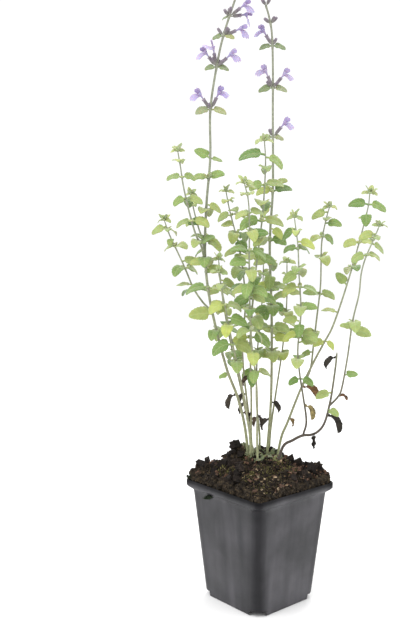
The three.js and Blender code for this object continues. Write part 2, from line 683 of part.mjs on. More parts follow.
function buildWhorls(stem, samples) {
  for (const whorl of stem.whorls ?? []) {
    const root = pointAtHeight(samples, whorl.z);
    for (const turn of [0, 180]) {
      const leaf = {
        heading: whorl.bracts + turn, rise: 8, bend: 50, tilt: BRACT_TILT, fold: LEAF_FOLD,
      };
      growBlade(stem.name, root, blade(whorl.length, BRACT_WIDTH, leaf), SMALL_EDGE);
    }
    for (const [heading, rise] of whorl.open) {
      grow(stem.name, calyxSolid(root, heading, rise));
      corollas.push(corollaSolid(root, heading, rise));
      takeFlower(root, heading, rise, 20);
    }
    for (const heading of whorl.buds) {
      grow(stem.name, budSolid(root, heading, draw(40, 62), BUD_LENGTH * draw(0.7, 1.05)));
      takeFlower(root, heading, BUD_RISE, 9);
    }
  }
}

function edgeFor(length) {
  if (length > 18.5) return BIG_EDGE;
  return length > 16.3 ? MIDDLE_EDGE : SMALL_EDGE;
}

function blade(length, widthPart, rest) {
  return { length, width: length * widthPart, thickness: LEAF_THICKNESS, ...rest };
}

function buildPlaced(allSamples) {
  for (const [index, z, heading, rise, bend, length, tilt] of PLACED) {
    const root = pointAtHeight(allSamples[index], z);
    const leaf = blade(length, LEAF_WIDTH, { heading, rise, bend, tilt, fold: LEAF_FOLD });
    growBlade(STEMS[index].name, root, leaf);
  }
}

const TOP_SIZE = 0.45; // size of the topmost pair, as a part of the full size
const SIZE_STEP = 0.2; // what each pair further down adds to it
const FLOWERING_SIZE = 0.85; // least size on a stem that flowers

// Opposite pairs, each pair a quarter turn from the next; the topmost are young and small.
function buildPairs(stem, samples) {
  stem.pairs.forEach((z, i) => {
    const root = pointAtHeight(samples, z);
    const youth = Math.min(1, TOP_SIZE + SIZE_STEP * i);
    const grown = stem.whorls ? Math.max(youth, FLOWERING_SIZE) : youth;
    const pairHeading = stem.turn + 90 * (i % 2) + draw(-12, 12);
    for (const turn of [0, 180]) {
      const length = stem.size * grown * draw(0.88, 1.12);
      const heading = pairHeading + turn + draw(-8, 8);
      const rise = draw(6, 32) + 22 * (1 - youth);
      const bend = draw(62, 104);
      const tilt = LEAF_TILT + draw(-22, 18);
      growBlade(stem.name, root, blade(length, LEAF_WIDTH, { heading, rise, bend, tilt, fold: LEAF_FOLD }));
    }
  });
}

const SINGLE_BEND = 50;
const SINGLE_TILT = 50;

// They stand to the right and to the left by turns, and fill the room which the pairs leave.
function buildSingles(allSamples) {
  for (const [index, count, low, high] of SINGLES) {
    for (let i = 0; i < count; i += 1) {
      const z = low + (high - low) * (i + draw(0.2, 0.8)) / count;
      const heading = 180 * (i % 2) + draw(-25, 25);
      const rise = draw(-30, 38);
      const leaf = { heading, rise, bend: SINGLE_BEND, tilt: SINGLE_TILT, fold: LEAF_FOLD };
      const root = pointAtHeight(allSamples[index], z);
      growBlade(STEMS[index].name, root, blade(draw(13, 16.2), LEAF_WIDTH, leaf));
    }
  }
}

function buildDried(allSamples) {
  for (const [index, z, heading, rise, length] of DRIED) {
    const root = pointAtHeight(allSamples[index], z);
    const leaf = blade(length, DRIED_WIDTH, { heading, rise, bend: DRIED_BEND, tilt: 0, fold: DRIED_FOLD });
    growBlade(STEMS[index].name, root, leaf);
  }
}

const allSamples = buildStems();
STEMS.forEach((stem, i) => buildWhorls(stem, allSamples[i]));
buildPlaced(allSamples);
STEMS.forEach((stem, i) => buildPairs(stem, allSamples[i]));
buildSingles(allSamples);
buildDried(allSamples);

let soil = soilBlock();
STEMS.forEach((stem, i) => {
  if (stem.route[0][2] === STEM_DEPTH) soil = soil.subtract(holeSolid(allSamples[i], stem.radius));
});

// ---------- the object ----------
const PLASTIC = { color: 0x505054, roughness: 0.5, metalness: 0 };
const PEAT = { color: 0x3a2a20, roughness: 0.95, metalness: 0 };
const GREEN = { color: 0x7f9a58, roughness: 0.75, metalness: 0 };
const VIOLET = { color: 0xa79fd8, roughness: 0.7, metalness: 0 };

const catmint = new THREE.Group();

function addMesh(name, solid, look) {
  const mesh = new THREE.Mesh(geometryOf(solid), new THREE.MeshStandardMaterial(look));
  mesh.name = name;
  catmint.add(mesh);
}

// Fusing can leave a loose scrap or seal a tiny hollow: only the body itself is kept.
function mainBody(solid) {
  return solid.decompose().reduce((best, piece) => (piece.volume() > best.volume() ? piece : best));
}

addMesh('pot', potSolid(), PLASTIC);
addMesh('soil', soil, PEAT);
for (const [name, solids] of bodies) {
  addMesh(name, mainBody(solids.reduce((all, solid) => all.add(solid))), GREEN);
}
corollas.forEach((solid, i) => addMesh(`corolla_${i + 1}`, mainBody(solid), VIOLET));

export default catmint;
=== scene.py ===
"""A potted catmint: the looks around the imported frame. The plant's skeleton is worked out in
millimetres by the same rules as in the part's source, and meshes are written in metres."""
import json
import math

import bpy
import numpy as np
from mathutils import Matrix, Vector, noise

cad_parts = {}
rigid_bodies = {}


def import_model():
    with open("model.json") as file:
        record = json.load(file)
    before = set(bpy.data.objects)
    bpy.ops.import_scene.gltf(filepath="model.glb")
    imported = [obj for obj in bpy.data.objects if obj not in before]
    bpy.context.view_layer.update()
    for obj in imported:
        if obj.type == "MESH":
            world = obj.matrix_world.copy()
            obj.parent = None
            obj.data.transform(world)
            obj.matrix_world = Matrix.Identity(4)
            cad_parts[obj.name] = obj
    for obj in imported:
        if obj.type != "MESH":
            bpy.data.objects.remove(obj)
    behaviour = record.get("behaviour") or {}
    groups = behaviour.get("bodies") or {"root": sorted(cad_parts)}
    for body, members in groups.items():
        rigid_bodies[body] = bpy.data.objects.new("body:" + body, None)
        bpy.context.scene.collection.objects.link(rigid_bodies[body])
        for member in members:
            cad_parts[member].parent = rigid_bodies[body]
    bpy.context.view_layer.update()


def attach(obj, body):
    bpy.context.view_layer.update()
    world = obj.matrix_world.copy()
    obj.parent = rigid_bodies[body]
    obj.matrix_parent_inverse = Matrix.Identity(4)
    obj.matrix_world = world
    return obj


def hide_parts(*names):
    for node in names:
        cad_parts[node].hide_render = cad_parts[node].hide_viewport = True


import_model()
MM = 0.001


def put(name, data):
    """A new object in the scene, of a mesh, a lamp or a camera."""
    piece = bpy.data.objects.new(name, data)
    bpy.context.scene.collection.objects.link(piece)
    return piece


# ---------- driving dimensions, millimetres ----------
POT_HEIGHT = 100
RIM_HALF = 45
RIM_CORNER = 5.5
RIM_BAND = 5
RIM_DRAFT = 3
BODY_TOP_HALF = 41.8
BODY_BASE_HALF = 33.7
BODY_CORNER = 9
WALL = 1.2
NOTCH_WIDTH = 13.6
NOTCH_HEIGHT = 4.2
NOTCH_REACH = 33
MOUND_HEIGHT = 21
MOUND_SPREAD = 36
EDGE_HEIGHT = 1
STEM_DEPTH = 108
STEM_STEP = 20
LEAF_WIDTH = 0.61
LEAF_FOLD = 0.2
LEAF_TILT = 40
BLADE_START = 0.3
BRACT_WIDTH = 0.66
BRACT_TILT = 45
DRIED_WIDTH = 0.42
DRIED_FOLD = 0.5
DRIED_BEND = 60
DRIED_CRUMPLE = 0.9
UNDER_RIM = POT_HEIGHT - RIM_BAND - RIM_DRAFT

# ---------- camera ----------
CAMERA_AT = (4, -702, 314)
CAMERA_YAW = 4.4
CAMERA_PITCH = 6.4
FOCAL_PIXELS = 856
IMAGE_HEIGHT = 640
SENSOR = 36


def make_camera():
    data = bpy.data.cameras.new("view")
    camera = put("view", data)
    camera.location = [c * MM for c in CAMERA_AT]
    camera.rotation_euler = (math.radians(90 - CAMERA_PITCH), 0, math.radians(CAMERA_YAW))
    data.sensor_fit = "VERTICAL"
    data.sensor_height = SENSOR
    data.lens = FOCAL_PIXELS / IMAGE_HEIGHT * SENSOR
    data.clip_end = 100
    bpy.context.scene.camera = camera


# ---------- seeded draws, the same sequence as in the part's source ----------
class Draws:
    def __init__(self, seed):
        self.seed = seed

    def __call__(self, low, high):
        self.seed = (self.seed * 1664525 + 1013904223) & 0xFFFFFFFF
        return low + (high - low) * self.seed / 4294967296


draw = Draws(20)
fine = np.random.RandomState(7)  # for what only the scene has

# ---------- stems ----------
STEMS = [
    dict(name="stem_left_tall", radius=(1.5, 1), size=18, turn=170,
         route=[(-8, -3, STEM_DEPTH), (-12, -3, 144), (-18, -4, 170), (-27, -6, 194), (-35, -8, 224),
                (-42, -10, 257), (-45, -12, 289), (-44, -12, 328), (-41, -11, 366), (-41, -10, 404),
                (-36, -9, 438), (-31, -8, 461), (-23, -6, 486), (-17, -5, 502)],
         pairs=[350, 325, 300, 286, 262, 227],
         whorls=[
             dict(z=404, open=[(174, 54), (20, 64)], buds=[250, 155, 100], bracts=190, length=13),
             dict(z=437, open=[(165, 52), (225, 76), (8, 42)], buds=[200, 60, 110, 345], bracts=185,
                  length=10),
             dict(z=461, open=[(10, 24)], buds=[165, 330, 80, 25], bracts=175, length=9),
             dict(z=476, open=[(8, 38), (30, 12)], buds=[290, 200, 95, 170], bracts=165, length=7),
             dict(z=501, open=[], buds=[20, 110, 200, 290], bracts=150, length=4)]),
    dict(name="stem_left_tall", parent=0, radius=(1.1, 0.6), size=16, turn=150,
         route=[(-38.6, -9, 242), (-43, -6, 246), (-48.5, -1, 251), (-56, 6, 261), (-63, 12, 276),
                (-70, 17, 290), (-77, 20, 304), (-82, 22, 317)],
         pairs=[317, 309, 295, 277, 260]),
    dict(name="stem_left_tall", parent=0, radius=(1.1, 0.6), size=14, turn=175,
         route=[(-44.6, -12, 282), (-48, -16, 297), (-52, -20, 306), (-57, -25, 325), (-61, -28, 344),
                (-63, -29, 358), (-65, -30, 370)],
         pairs=[370, 362, 350, 332, 316, 300]),
    dict(name="stem_left_tall", parent=0, radius=(1, 0.6), size=12, turn=20,
         route=[(-45.4, -12, 292), (-48, -7, 303), (-51, -3, 311), (-55, 3, 324), (-58, 5, 338)],
         pairs=[338, 329, 315]),
    dict(name="stem_right_tall", radius=(1.5, 0.95), size=18, turn=5,
         route=[(5, 4, STEM_DEPTH), (7, 4, 132), (9, 5, 163), (9.5, 6, 195), (9, 7, 243), (7, 8, 297),
                (9, 8, 338), (9, 8, 367), (8.5, 8, 405), (8.3, 8, 436), (7.3, 8, 464), (5, 8, 478),
                (2, 8, 488)],
         pairs=[340, 318, 300, 282, 262, 246, 228, 208],
         whorls=[
             dict(z=384, open=[(15, 50)], buds=[200, 110], bracts=185, length=9),
             dict(z=423, open=[(168, 66), (18, 50)], buds=[215, 75, 320, 185], bracts=182, length=12),
             dict(z=456, open=[(158, 58)], buds=[5, 25, 95, 200], bracts=183, length=11),
             dict(z=473, open=[], buds=[175, 200, 345, 20], bracts=160, length=7),
             dict(z=487, open=[], buds=[30, 130, 220, 310], bracts=240, length=4)]),
    dict(name="stem_centre", radius=(1.3, 0.6), size=18, turn=180,
         route=[(-4, -6, STEM_DEPTH), (-7, -7, 139), (-7, -9, 170), (-8, -12, 224), (-4, -15, 277),
                (1, -17, 321), (3, -17, 360), (2, -16, 379)],
         pairs=[379, 357, 344, 330, 316, 302, 286, 270, 254, 238, 222]),
    dict(name="stem_back", radius=(1.2, 0.6), size=16, turn=20,
         route=[(-1, 9, STEM_DEPTH), (0, 10, 134), (-3, 16, 163), (-3, 22, 194), (-2, 26, 215),
                (1, 31, 249), (2, 34, 281)],
         pairs=[281, 272, 257, 240, 224, 206, 188]),
    dict(name="stem_right_long", radius=(1.4, 0.6), size=16, turn=15,
         route=[(13, 3, STEM_DEPTH), (18, 6, 135), (23.6, 8, 149), (34.5, 12, 177), (44, 15, 197),
                (53, 18, 214), (60, 20, 227), (67, 22, 247), (74, 24, 270), (80, 25, 292),
                (88, 25, 326), (89.5, 25, 339)],
         pairs=[339, 318, 298, 278]),
    dict(name="stem_right_long", parent=7, radius=(1.1, 0.6), size=15, turn=10,
         route=[(34.5, 12, 177), (42, 18, 191), (45, 24, 213), (48, 28, 239), (50.5, 31, 263),
                (51, 33, 297), (54, 33, 316), (57, 33, 328)],
         pairs=[328, 318, 303, 286, 254, 222]),
    dict(name="stem_right_low", radius=(1.5, 0.9), size=12, turn=60,
         route=[(13, -8, STEM_DEPTH), (19, -9, 131), (27, -9, 137), (35, -10, 141.5), (42, -11, 142.5),
                (48, -12, 146), (53, -13, 154), (57, -13, 171), (59, -12, 184), (61, -11, 200),
                (62, -10, 211)],
         pairs=[]),
    dict(name="stem_right_low", parent=9, radius=(1, 0.6), size=15, turn=10,
         route=[(56, -13, 167), (63, -14, 175), (66, -15, 183), (70, -15, 208), (73.5, -15, 237),
                (78, -15, 258), (79.5, -15, 275), (83, -14, 288), (88.5, -13, 301), (93, -12, 312)],
         pairs=[312, 303, 289, 236]),
    dict(name="stem_right_low", parent=9, radius=(1.1, 0.6), size=16, turn=175,
         route=[(35.5, -10, 141.7), (38, -12, 154), (35, -15, 175), (32, -18, 193), (30, -20, 214),
                (32, -22, 244), (30, -22, 277), (29, -21, 297), (26, -20, 319)],
         pairs=[319, 308, 294, 279, 264, 248, 226, 206]),
    dict(name="stem_centre_left", radius=(1.2, 0.6), size=16, turn=160,
         route=[(-8, 4, STEM_DEPTH), (-8, 5, 142), (-11, 7, 167), (-14, 10, 192), (-15, 13, 217),
                (-13, 17, 250), (-17, 22, 286), (-22, 24, 307), (-27, 25, 326), (-30, 26, 341)],
         pairs=[341, 333, 321, 306, 291, 276, 260, 245, 230, 214]),
    dict(name="stem_centre_front", radius=(1.2, 0.6), size=16, turn=15,
         route=[(-1, -11, STEM_DEPTH), (-2, -14, 138), (-2, -18, 164), (-3, -23, 189), (-7, -28, 222),
                (-8.5, -31, 255), (-9, -33, 286), (-9, -34, 313), (-10, -34, 332), (-13, -34, 345)],
         pairs=[345, 336, 322, 308, 293, 278, 262, 246, 230]),
    dict(name="stem_left_front", radius=(1.2, 0.6), size=18, turn=185,
         route=[(-7, -9, STEM_DEPTH), (-8, -13, 140), (-12, -17, 170), (-18, -21, 200), (-24, -25, 228),
                (-29, -29, 255), (-33, -31, 276)],
         pairs=[276, 266, 250, 234, 218, 204]),
    dict(name="stem_back_right", radius=(1.2, 0.6), size=16, turn=0,
         route=[(8, 11, STEM_DEPTH), (9, 14, 138), (14, 20, 175), (19, 27, 210), (22, 33, 245),
                (22, 37, 281)],
         pairs=[281, 271, 254, 238, 220, 204]),
    dict(name="stem_back_left", radius=(1.2, 0.6), size=16, turn=30,
         route=[(-5, 11, STEM_DEPTH), (-9, 16, 138), (-17, 24, 175), (-26, 32, 212), (-33, 38, 248),
                (-37, 41, 283)],
         pairs=[283, 273, 256, 240, 222, 204]),
]

# Leaves set one by one: stem index, height, heading, rise, bend, length, tilt.
PLACED = [
    (0, 241, 180, 10, 30, 20, 62), (14, 243, 165, 50, 35, 17, 60), (14, 240, 0, -5, 35, 17, 55),
    (5, 368, 180, 18, 60, 22, 42), (5, 366, 0, 0, 75, 17, 40), (0, 366, 165, 40, 25, 15, 55),
    (0, 366, 10, -5, 20, 10, 40), (0, 284, 180, 5, 30, 13, 65), (12, 290, 265, -25, 55, 14, 0),
    (5, 296, 270, -20, 60, 14, 0), (7, 330, 180, 20, 50, 17, 50), (7, 330, 0, 5, 60, 16, 45),
    (7, 323, 262, -30, 40, 15, 0), (10, 230, 0, -8, 20, 16, 60), (10, 232, 180, 20, 30, 10, 50),
    (10, 193, 20, 10, 20, 12, 50), (8, 256, 180, 5, 15, 14, 45), (8, 224, 180, 0, 20, 11, 45),
    (11, 236, 265, -35, 30, 14, 0), (7, 263, 150, 50, 10, 14, 60), (1, 302, 265, -20, 50, 10, 0),
    (1, 312, 190, -15, 30, 14, 40), (4, 272, 265, -20, 55, 16, 0), (13, 269, 255, -30, 45, 16, 0),
    (13, 213, 275, -10, 50, 17, 0), (4, 244, 200, 10, 40, 15, 45), (2, 334, 200, 0, 70, 12, 50),
    (2, 334, 10, 5, 50, 14, 45), (11, 300, 0, 5, 60, 15, 45),
    (7, 216, 180, -10, 60, 12, 50), (7, 216, 0, -20, 60, 11, 45), (13, 198, 265, -20, 50, 14, 0),
    (5, 192, 280, -25, 50, 13, 0), (11, 190, 195, 0, 60, 11, 45), (11, 190, 345, 0, 60, 12, 45),
    (8, 206, 180, 0, 60, 11, 45), (0, 190, 180, 10, 60, 9, 40), (1, 264, 185, 5, 20, 13, 20),
    (7, 240, 175, 25, 40, 14, 20), (9, 164, 315, 5, 50, 12, 45),
    (9, 178, 190, 0, 40, 14, 40),
]

# Single leaves between the pairs: stem index, how many, lowest and highest height
SINGLES = [
    (0, 5, 270, 338), (1, 1, 280, 290), (2, 1, 290, 300), (4, 7, 210, 360), (6, 1, 196, 206),
    (8, 2, 308, 330), (10, 2, 294, 312), (11, 6, 206, 320), (12, 3, 298, 330),
    (13, 5, 254, 346), (15, 2, 226, 244), (16, 2, 260, 276),
]

DRIED = [
    (0, 174, 195, -35, 14), (0, 158, 30, -30, 10), (4, 166, 20, -45, 12), (4, 152, 200, -45, 12),
    (5, 160, 250, -30, 10), (7, 152, 330, -40, 8), (9, 144, 262, -60, 13), (9, 160, 5, -28, 19),
    (9, 207, 185, -40, 13), (6, 150, 120, -25, 12), (12, 172, 160, -30, 11), (13, 160, 300, -25, 9),
    (16, 160, 120, -25, 13), (5, 190, 180, -25, 10), (7, 178, 355, -10, 17), (11, 168, 350, -35, 14),
    (10, 176, 10, 0, 8),
]
# What each dried leaf is: from 0, black, over 0.6, brown, to 1, olive.
DRIED_KINDS = (0.3, 0.45, 0.1, 0.2, 0.35, 0.7, 0.05, 0, 0.05, 0.4, 0.2, 0.3, 0.15, 0.4, 0.62, 0.78, 0.5)


def curve_point(route, t):
    """Uniform Catmull-Rom through the route, with its ends carried straight on."""
    points = np.array(route, float)
    points = np.vstack([2 * points[0] - points[1], points, 2 * points[-1] - points[-2]])
    spans = len(route) - 1
    place = min(max(t, 0), 1) * spans
    i = min(int(place), spans - 1)
    w = place - i
    a, b, c, d = points[i:i + 4]
    v0 = (c - a) / 2
    v1 = (d - b) / 2
    return ((2 * b - 2 * c + v0 + v1) * w ** 3 + (-3 * b + 3 * c - 2 * v0 - v1) * w ** 2 + v0 * w + b)


def samples_of(stem, step=STEM_STEP):
    """Points along a stem's smooth route, about a step apart."""
    route = np.array(stem["route"], float)
    length = np.linalg.norm(np.diff(route, axis=0), axis=1).sum()
    count = math.ceil(length / step)
    return [curve_point(stem["route"], i / count) for i in range(count + 1)]


def point_at_height(samples, z):
    """Where a stem first reaches a height."""
    for i, (a, b) in enumerate(zip(samples, samples[1:])):
        if z <= b[2] or i + 2 == len(samples):
            return a + (b - a) * min(1, (z - a[2]) / (b[2] - a[2]))
    return samples[0]


# ---------- soil surface ----------
# Heaps on the soil at the left, the right, the back and the stems: height, place, spread squared.
HEAPS = [(8, -47, 3, 90), (9, 50, 6, 90), (5, 8, 40, 160), (11, -20, 4, 110)]


def soil_height(x, y):
    crown = MOUND_HEIGHT * np.exp(-(x * x + y * y) / (MOUND_SPREAD * MOUND_SPREAD))
    lumps = (1.7 * np.sin(0.31 * x + 1.1) * np.cos(0.27 * y - 0.4)
             + 1.3 * np.sin(0.55 * x - 0.35 * y + 2) + 0.9 * np.cos(0.8 * y + 0.45 * x))
    height = POT_HEIGHT + EDGE_HEIGHT + crown + lumps
    for rise, heap_x, heap_y, spread in HEAPS:
        height = height + rise * np.exp(-((x - heap_x) ** 2 + (y - heap_y) ** 2) / spread)
    return height


# ---------- room between leaves ----------
ROOM = 0.5  # left free between the balls of two blades
SOIL_ROOM = 2  # left free over the soil
POT_REACH = 66  # how far out the soil counts
# Balls over a blade: part of its length, and side place and radius as parts of its width.
BALLS = ((0.4, -0.24, 0.25), (0.4, 0.24, 0.25), (0.63, -0.2, 0.25), (0.63, 0.2, 0.25), (0.86, 0, 0.22))
SMALL_BALLS = ((0.7, 0, 0.34), (0.9, 0, 0.2))
SHORTER = (1, 0.82, 0.66)
LIFTS = (0, 18, -20, 34)
TURNS = (0, 14, -14, 28, -28, 44, -44)


class Taken:
    def __init__(self):
        self.balls = np.zeros((8000, 4))
        self.count = 0

    def take(self, x, y, z, r):
        self.balls[self.count] = (x, y, z, r)
        self.count += 1

    def clear(self, balls):
        for x, y, z, r in balls:
            if math.hypot(x, y) < POT_REACH and z - r < soil_height(x, y) + SOIL_ROOM:
                return False
        others = self.balls[:self.count]
        for x, y, z, r in balls:
            reach = others[:, 3] + r + ROOM
            far = (others[:, 0] - x) ** 2 + (others[:, 1] - y) ** 2 + (others[:, 2] - z) ** 2
            if not np.all(far > reach * reach):
                return False
        return True


taken = Taken()


def rib_point(root, leaf, u):
    """A point of a blade's midrib, part u along its arc, the normal and the sideways way there."""
    heading, rise, bend = (math.radians(leaf[k]) for k in ("heading", "rise", "bend"))
    angle = rise - bend * u
    out = leaf["length"] / bend * (math.sin(rise) - math.sin(angle))
    up = leaf["length"] / bend * (math.cos(angle) - math.cos(rise))
    point = np.array([root[0] + out * math.cos(heading), root[1] + out * math.sin(heading), root[2] + up])
    normal = np.array([-math.sin(angle) * math.cos(heading), -math.sin(angle) * math.sin(heading),
                       math.cos(angle)])
    sideways = np.array([-math.sin(heading), math.cos(heading), 0])
    # a blade that points left or right is rolled, so that its upper face looks forward
    roll = math.radians(leaf["tilt"]) * math.cos(heading)
    return (point, normal * math.cos(roll) - sideways * math.sin(roll),
            sideways * math.cos(roll) + normal * math.sin(roll))


def fit_blade(root, leaf, spots):
    """Turns, lifts or shortens a blade until it is clear of all that stands already."""
    for part in SHORTER:
        for lift in LIFTS:
            for turn in TURNS:
                tried = {**leaf, "length": leaf["length"] * part, "width": leaf["width"] * part,
                         "rise": leaf["rise"] + lift, "heading": leaf["heading"] + turn}
                balls = []
                for u, v, r in spots:
                    point, _, sideways = rib_point(root, tried, u)
                    balls.append((*(point + sideways * (v * tried["width"])), r * tried["width"]))
                if taken.clear(balls):
                    for ball in balls:
                        taken.take(*ball)
                    return tried
    return None


# ---------- meshes ----------
BOX_FACES = [(0, 1, 3, 2), (4, 6, 7, 5), (0, 4, 5, 1), (2, 3, 7, 6), (0, 2, 6, 4), (1, 5, 7, 3)]


class Builder:
    """Collects closed bodies with two pairs of numbers a point, for the materials."""

    def __init__(self):
        self.points = []
        self.faces = []
        self.slots = []
        self.where = []
        self.tone = []
        self.count = 0

    def add(self, points, faces, where=None, tone=(0.5, 0.5), slot=0):
        points = np.asarray(points, float)
        n = len(points)
        self.points.append(points)
        self.faces += [tuple(self.count + k for k in face) for face in faces]
        self.slots += list(slot) if isinstance(slot, (list, tuple)) else [slot] * len(faces)
        self.where.append(np.zeros((n, 2)) if where is None else np.asarray(where, float))
        self.tone.append(np.tile(np.asarray(tone, float), (n, 1)))
        self.count += n

    def build(self, name, materials, smooth=True):
        mesh = bpy.data.meshes.new(name)
        mesh.from_pydata(np.vstack(self.points) * MM, [], self.faces)
        for material in materials:
            mesh.materials.append(material)
        mesh.polygons.foreach_set("material_index", self.slots)
        mesh.polygons.foreach_set("use_smooth", [smooth] * len(self.faces))
        corners = np.empty(len(mesh.loops), dtype=np.int32)
        mesh.loops.foreach_get("vertex_index", corners)
        for layer, values in (("where", self.where), ("tone", self.tone)):
            data = mesh.uv_layers.new(name=layer).data
            data.foreach_set("uv", np.vstack(values)[corners].ravel())
        mesh.validate()
        mesh.update()
        return put(name, mesh)


def loft_faces(rings, count):
    """Faces between rings of count points each, and at both ends."""
    faces = []
    for i in range(rings - 1):
        for j in range(count):
            a = i * count + j
            b = i * count + (j + 1) % count
            faces.append((a, b, b + count, a + count))
    faces.append(tuple(reversed(range(count))))
    faces.append(tuple((rings - 1) * count + j for j in range(count)))
    return faces


def sheet_body(top, bottom):
    """A closed thin body between two grids of points, as points, faces and a 1 for each under face."""
    rows, cols = top.shape[:2]
    n = rows * cols
    points = np.vstack([top.reshape(-1, 3), bottom.reshape(-1, 3)])
    faces = []
    flags = []
    for i in range(rows - 1):
        for j in range(cols - 1):
            a = i * cols + j
            quad = (a, a + 1, a + cols + 1, a + cols)
            faces.append(quad)
            flags.append(0)
            faces.append(tuple(n + k for k in reversed(quad)))
            flags.append(1)
    rim = list(range(cols))
    rim += [i * cols + cols - 1 for i in range(1, rows)]
    rim += [(rows - 1) * cols + j for j in range(cols - 2, -1, -1)]
    rim += [i * cols for i in range(rows - 2, 0, -1)]
    for a, b in zip(rim, rim[1:] + rim[:1]):
        faces.append((b, a, a + n, b + n))
        flags.append(0)
    return points, faces, flags


# ---------- leaves ----------
TEETH = 7
PETIOLE = 0.15  # part of the length
SIDE_VEINS = 5
COLUMNS = np.linspace(-1, 1, 9)


def blade_part(u):
    """Part u of a leaf's length, as a part of its blade's length."""
    return (u - PETIOLE) / (1 - PETIOLE)


def leaf_half_width(u):
    """Half width of a catmint leaf: a petiole, then a heart-shaped blade with round teeth."""
    if u < PETIOLE:
        return 0.12
    blade = blade_part(u)
    shape = (1 - math.exp(-(blade + 0.004) / 0.06)) * max(0, 1 - blade ** 3) ** 0.7
    tooth = 0.87 + 0.15 * abs(math.sin(math.pi * TEETH * blade)) ** 0.7
    return max(0.02, shape * tooth)


def add_leaf(builder, root, leaf, age, crumple=0):
    """A leaf with folds between its veins and a waved edge; crumple withers it."""
    rows = 33 if leaf["length"] > 11 else (25 if leaf["length"] > 7 else 17)
    phase = fine.uniform(0, 6.28)
    wave = fine.uniform(0.15, 0.4)
    roll = math.radians(fine.uniform(-9, 9))
    half_full = leaf["width"] / 2
    top = np.zeros((rows, len(COLUMNS), 3))
    bottom = np.zeros_like(top)
    where = np.zeros((rows, len(COLUMNS), 2))
    for i in range(rows):
        u = i / (rows - 1)
        centre, normal, sideways = rib_point(root, leaf, u)
        half = leaf_half_width(u) * half_full
        edge = half / half_full
        blade = max(0, blade_part(u))
        side = sideways * math.cos(roll * u) + normal * math.sin(roll * u)
        for j, v in enumerate(COLUMNS):
            across = abs(v)
            fold = abs(math.sin(math.pi * SIDE_VEINS * (blade - 0.32 * across))) * (1 - across ** 4)
            lift = leaf["fold"] * half * across - 0.05 * half * across ** 2
            lift += 0.16 * edge * fold
            lift += wave * edge * across ** 2 * math.sin(9 * blade + phase + (2 if v > 0 else 0))
            if crumple:
                lift += crumple * half * across ** 1.5 + 0.5 * math.sin(7 * u + 4 * v + phase)
            squeeze = 1 - 0.45 * min(1, crumple) * across
            # a withered leaf has a torn edge
            tear = math.sin(15 * blade + phase + (1.2 if v > 0 else 0))
            squeeze += 0.3 * crumple * across ** 2 * tear
            p = centre + side * (v * half * squeeze) + normal * lift
            thick = 0.5 if u < PETIOLE else 0.2 + 0.12 * (1 - across)
            top[i, j] = p + normal * thick
            bottom[i, j] = p - normal * thick
            where[i, j] = (u, v * edge * 0.5 + 0.5)
    points, faces, flags = sheet_body(top, bottom)
    builder.add(points, faces, np.vstack([where.reshape(-1, 2)] * 2), (fine.uniform(0, 1), age), flags)


def grow_blade(builder, root, age, spots=BALLS, crumple=0, **leaf):
    """Fits a blade in and adds it; it starts a little out from the stem's axis."""
    fitted = fit_blade(root, leaf, spots)
    if fitted:
        start = np.asarray(root) + direction_of(fitted["heading"], 0) * BLADE_START
        add_leaf(builder, start, fitted, age, crumple)


# ---------- stems ----------
STEM_RING = 12
SQUARENESS = 0.16
FINE_STEP = 2.5


def stem_rings(points, radii):
    rings = []
    last = len(points) - 1
    for i, p in enumerate(points):
        along = points[min(i + 1, last)] - points[max(i - 1, 0)]
        along = along / np.linalg.norm(along)
        side = np.cross((0, 1, 0), along)
        side /= np.linalg.norm(side)
        other = np.cross(along, side)
        for k in range(STEM_RING):
            angle = 2 * math.pi * k / STEM_RING
            r = radii[i] * (1 - SQUARENESS + SQUARENESS * math.cos(4 * angle + math.pi))
            rings.append(p + side * (r * math.cos(angle)) + other * (r * math.sin(angle)))
    return np.array(rings)


def add_stem(builder, stem, samples, heights):
    """The stem along its smooth route, a little swollen at each pair of leaves."""
    points = samples_of(stem, FINE_STEP)
    if "parent" in stem:
        points[0] = samples[0]
    last = len(points) - 1
    radii = []
    for i, p in enumerate(points):
        r = stem["radius"][0] + (stem["radius"][1] - stem["radius"][0]) * i / last
        swell = max((math.exp(-((p[2] - z) / 1.6) ** 2) for z in heights), default=0)
        radii.append(r * (1 + 0.28 * swell))
    radii[-1] *= 0.4
    rings = stem_rings(points, radii)
    where = [(i / last, k / STEM_RING) for i in range(last + 1) for k in range(STEM_RING)]
    builder.add(rings, loft_faces(last + 1, STEM_RING), where, (fine.uniform(0, 1), 0.5))


# ---------- flowers ----------
CALYX_START = 3
CALYX_LENGTH = 7.4
CALYX_GIRTH = 1.35
CALYX_RADIUS = 1.5
SOCKET_DEPTH = 2.6
SOCKET_RADIUS = 0.95
TUBE_RADIUS = 0.5
TUBE_LENGTH = 8
TUBE_MOUTH = 1.8
BUD_RISE = 50
BUD_START = 1.6
BUD_LENGTH = 6.4
BUD_GIRTH = 1.25
LIP_TILT = 45
LIP_THICKNESS = 0.26
LOWER_LIP = dict(lift=-45, bend=72, length=9.6, width=9.6, lobes=3, cup=-0.14)
UPPER_LIP = dict(lift=12, bend=30, length=6.3, width=6.2, lobes=2, cup=-0.25)
LIP_GRID = 15
MOUTH = CALYX_START + CALYX_LENGTH
TUBE_START = MOUTH - SOCKET_DEPTH + 0.3
THROAT = TUBE_START + TUBE_LENGTH
CALYX_SIDES = 15
COROLLA_SIDES = 14


def direction_of(heading, rise):
    h = math.radians(heading)
    e = math.radians(rise)
    return np.array([math.cos(e) * math.cos(h), math.cos(e) * math.sin(h), math.sin(e)])


def around(direction):
    """Two ways square to a direction and to each other."""
    side = np.cross((0, 0, 1), direction)
    side /= np.linalg.norm(side)
    return side, np.cross(direction, side)


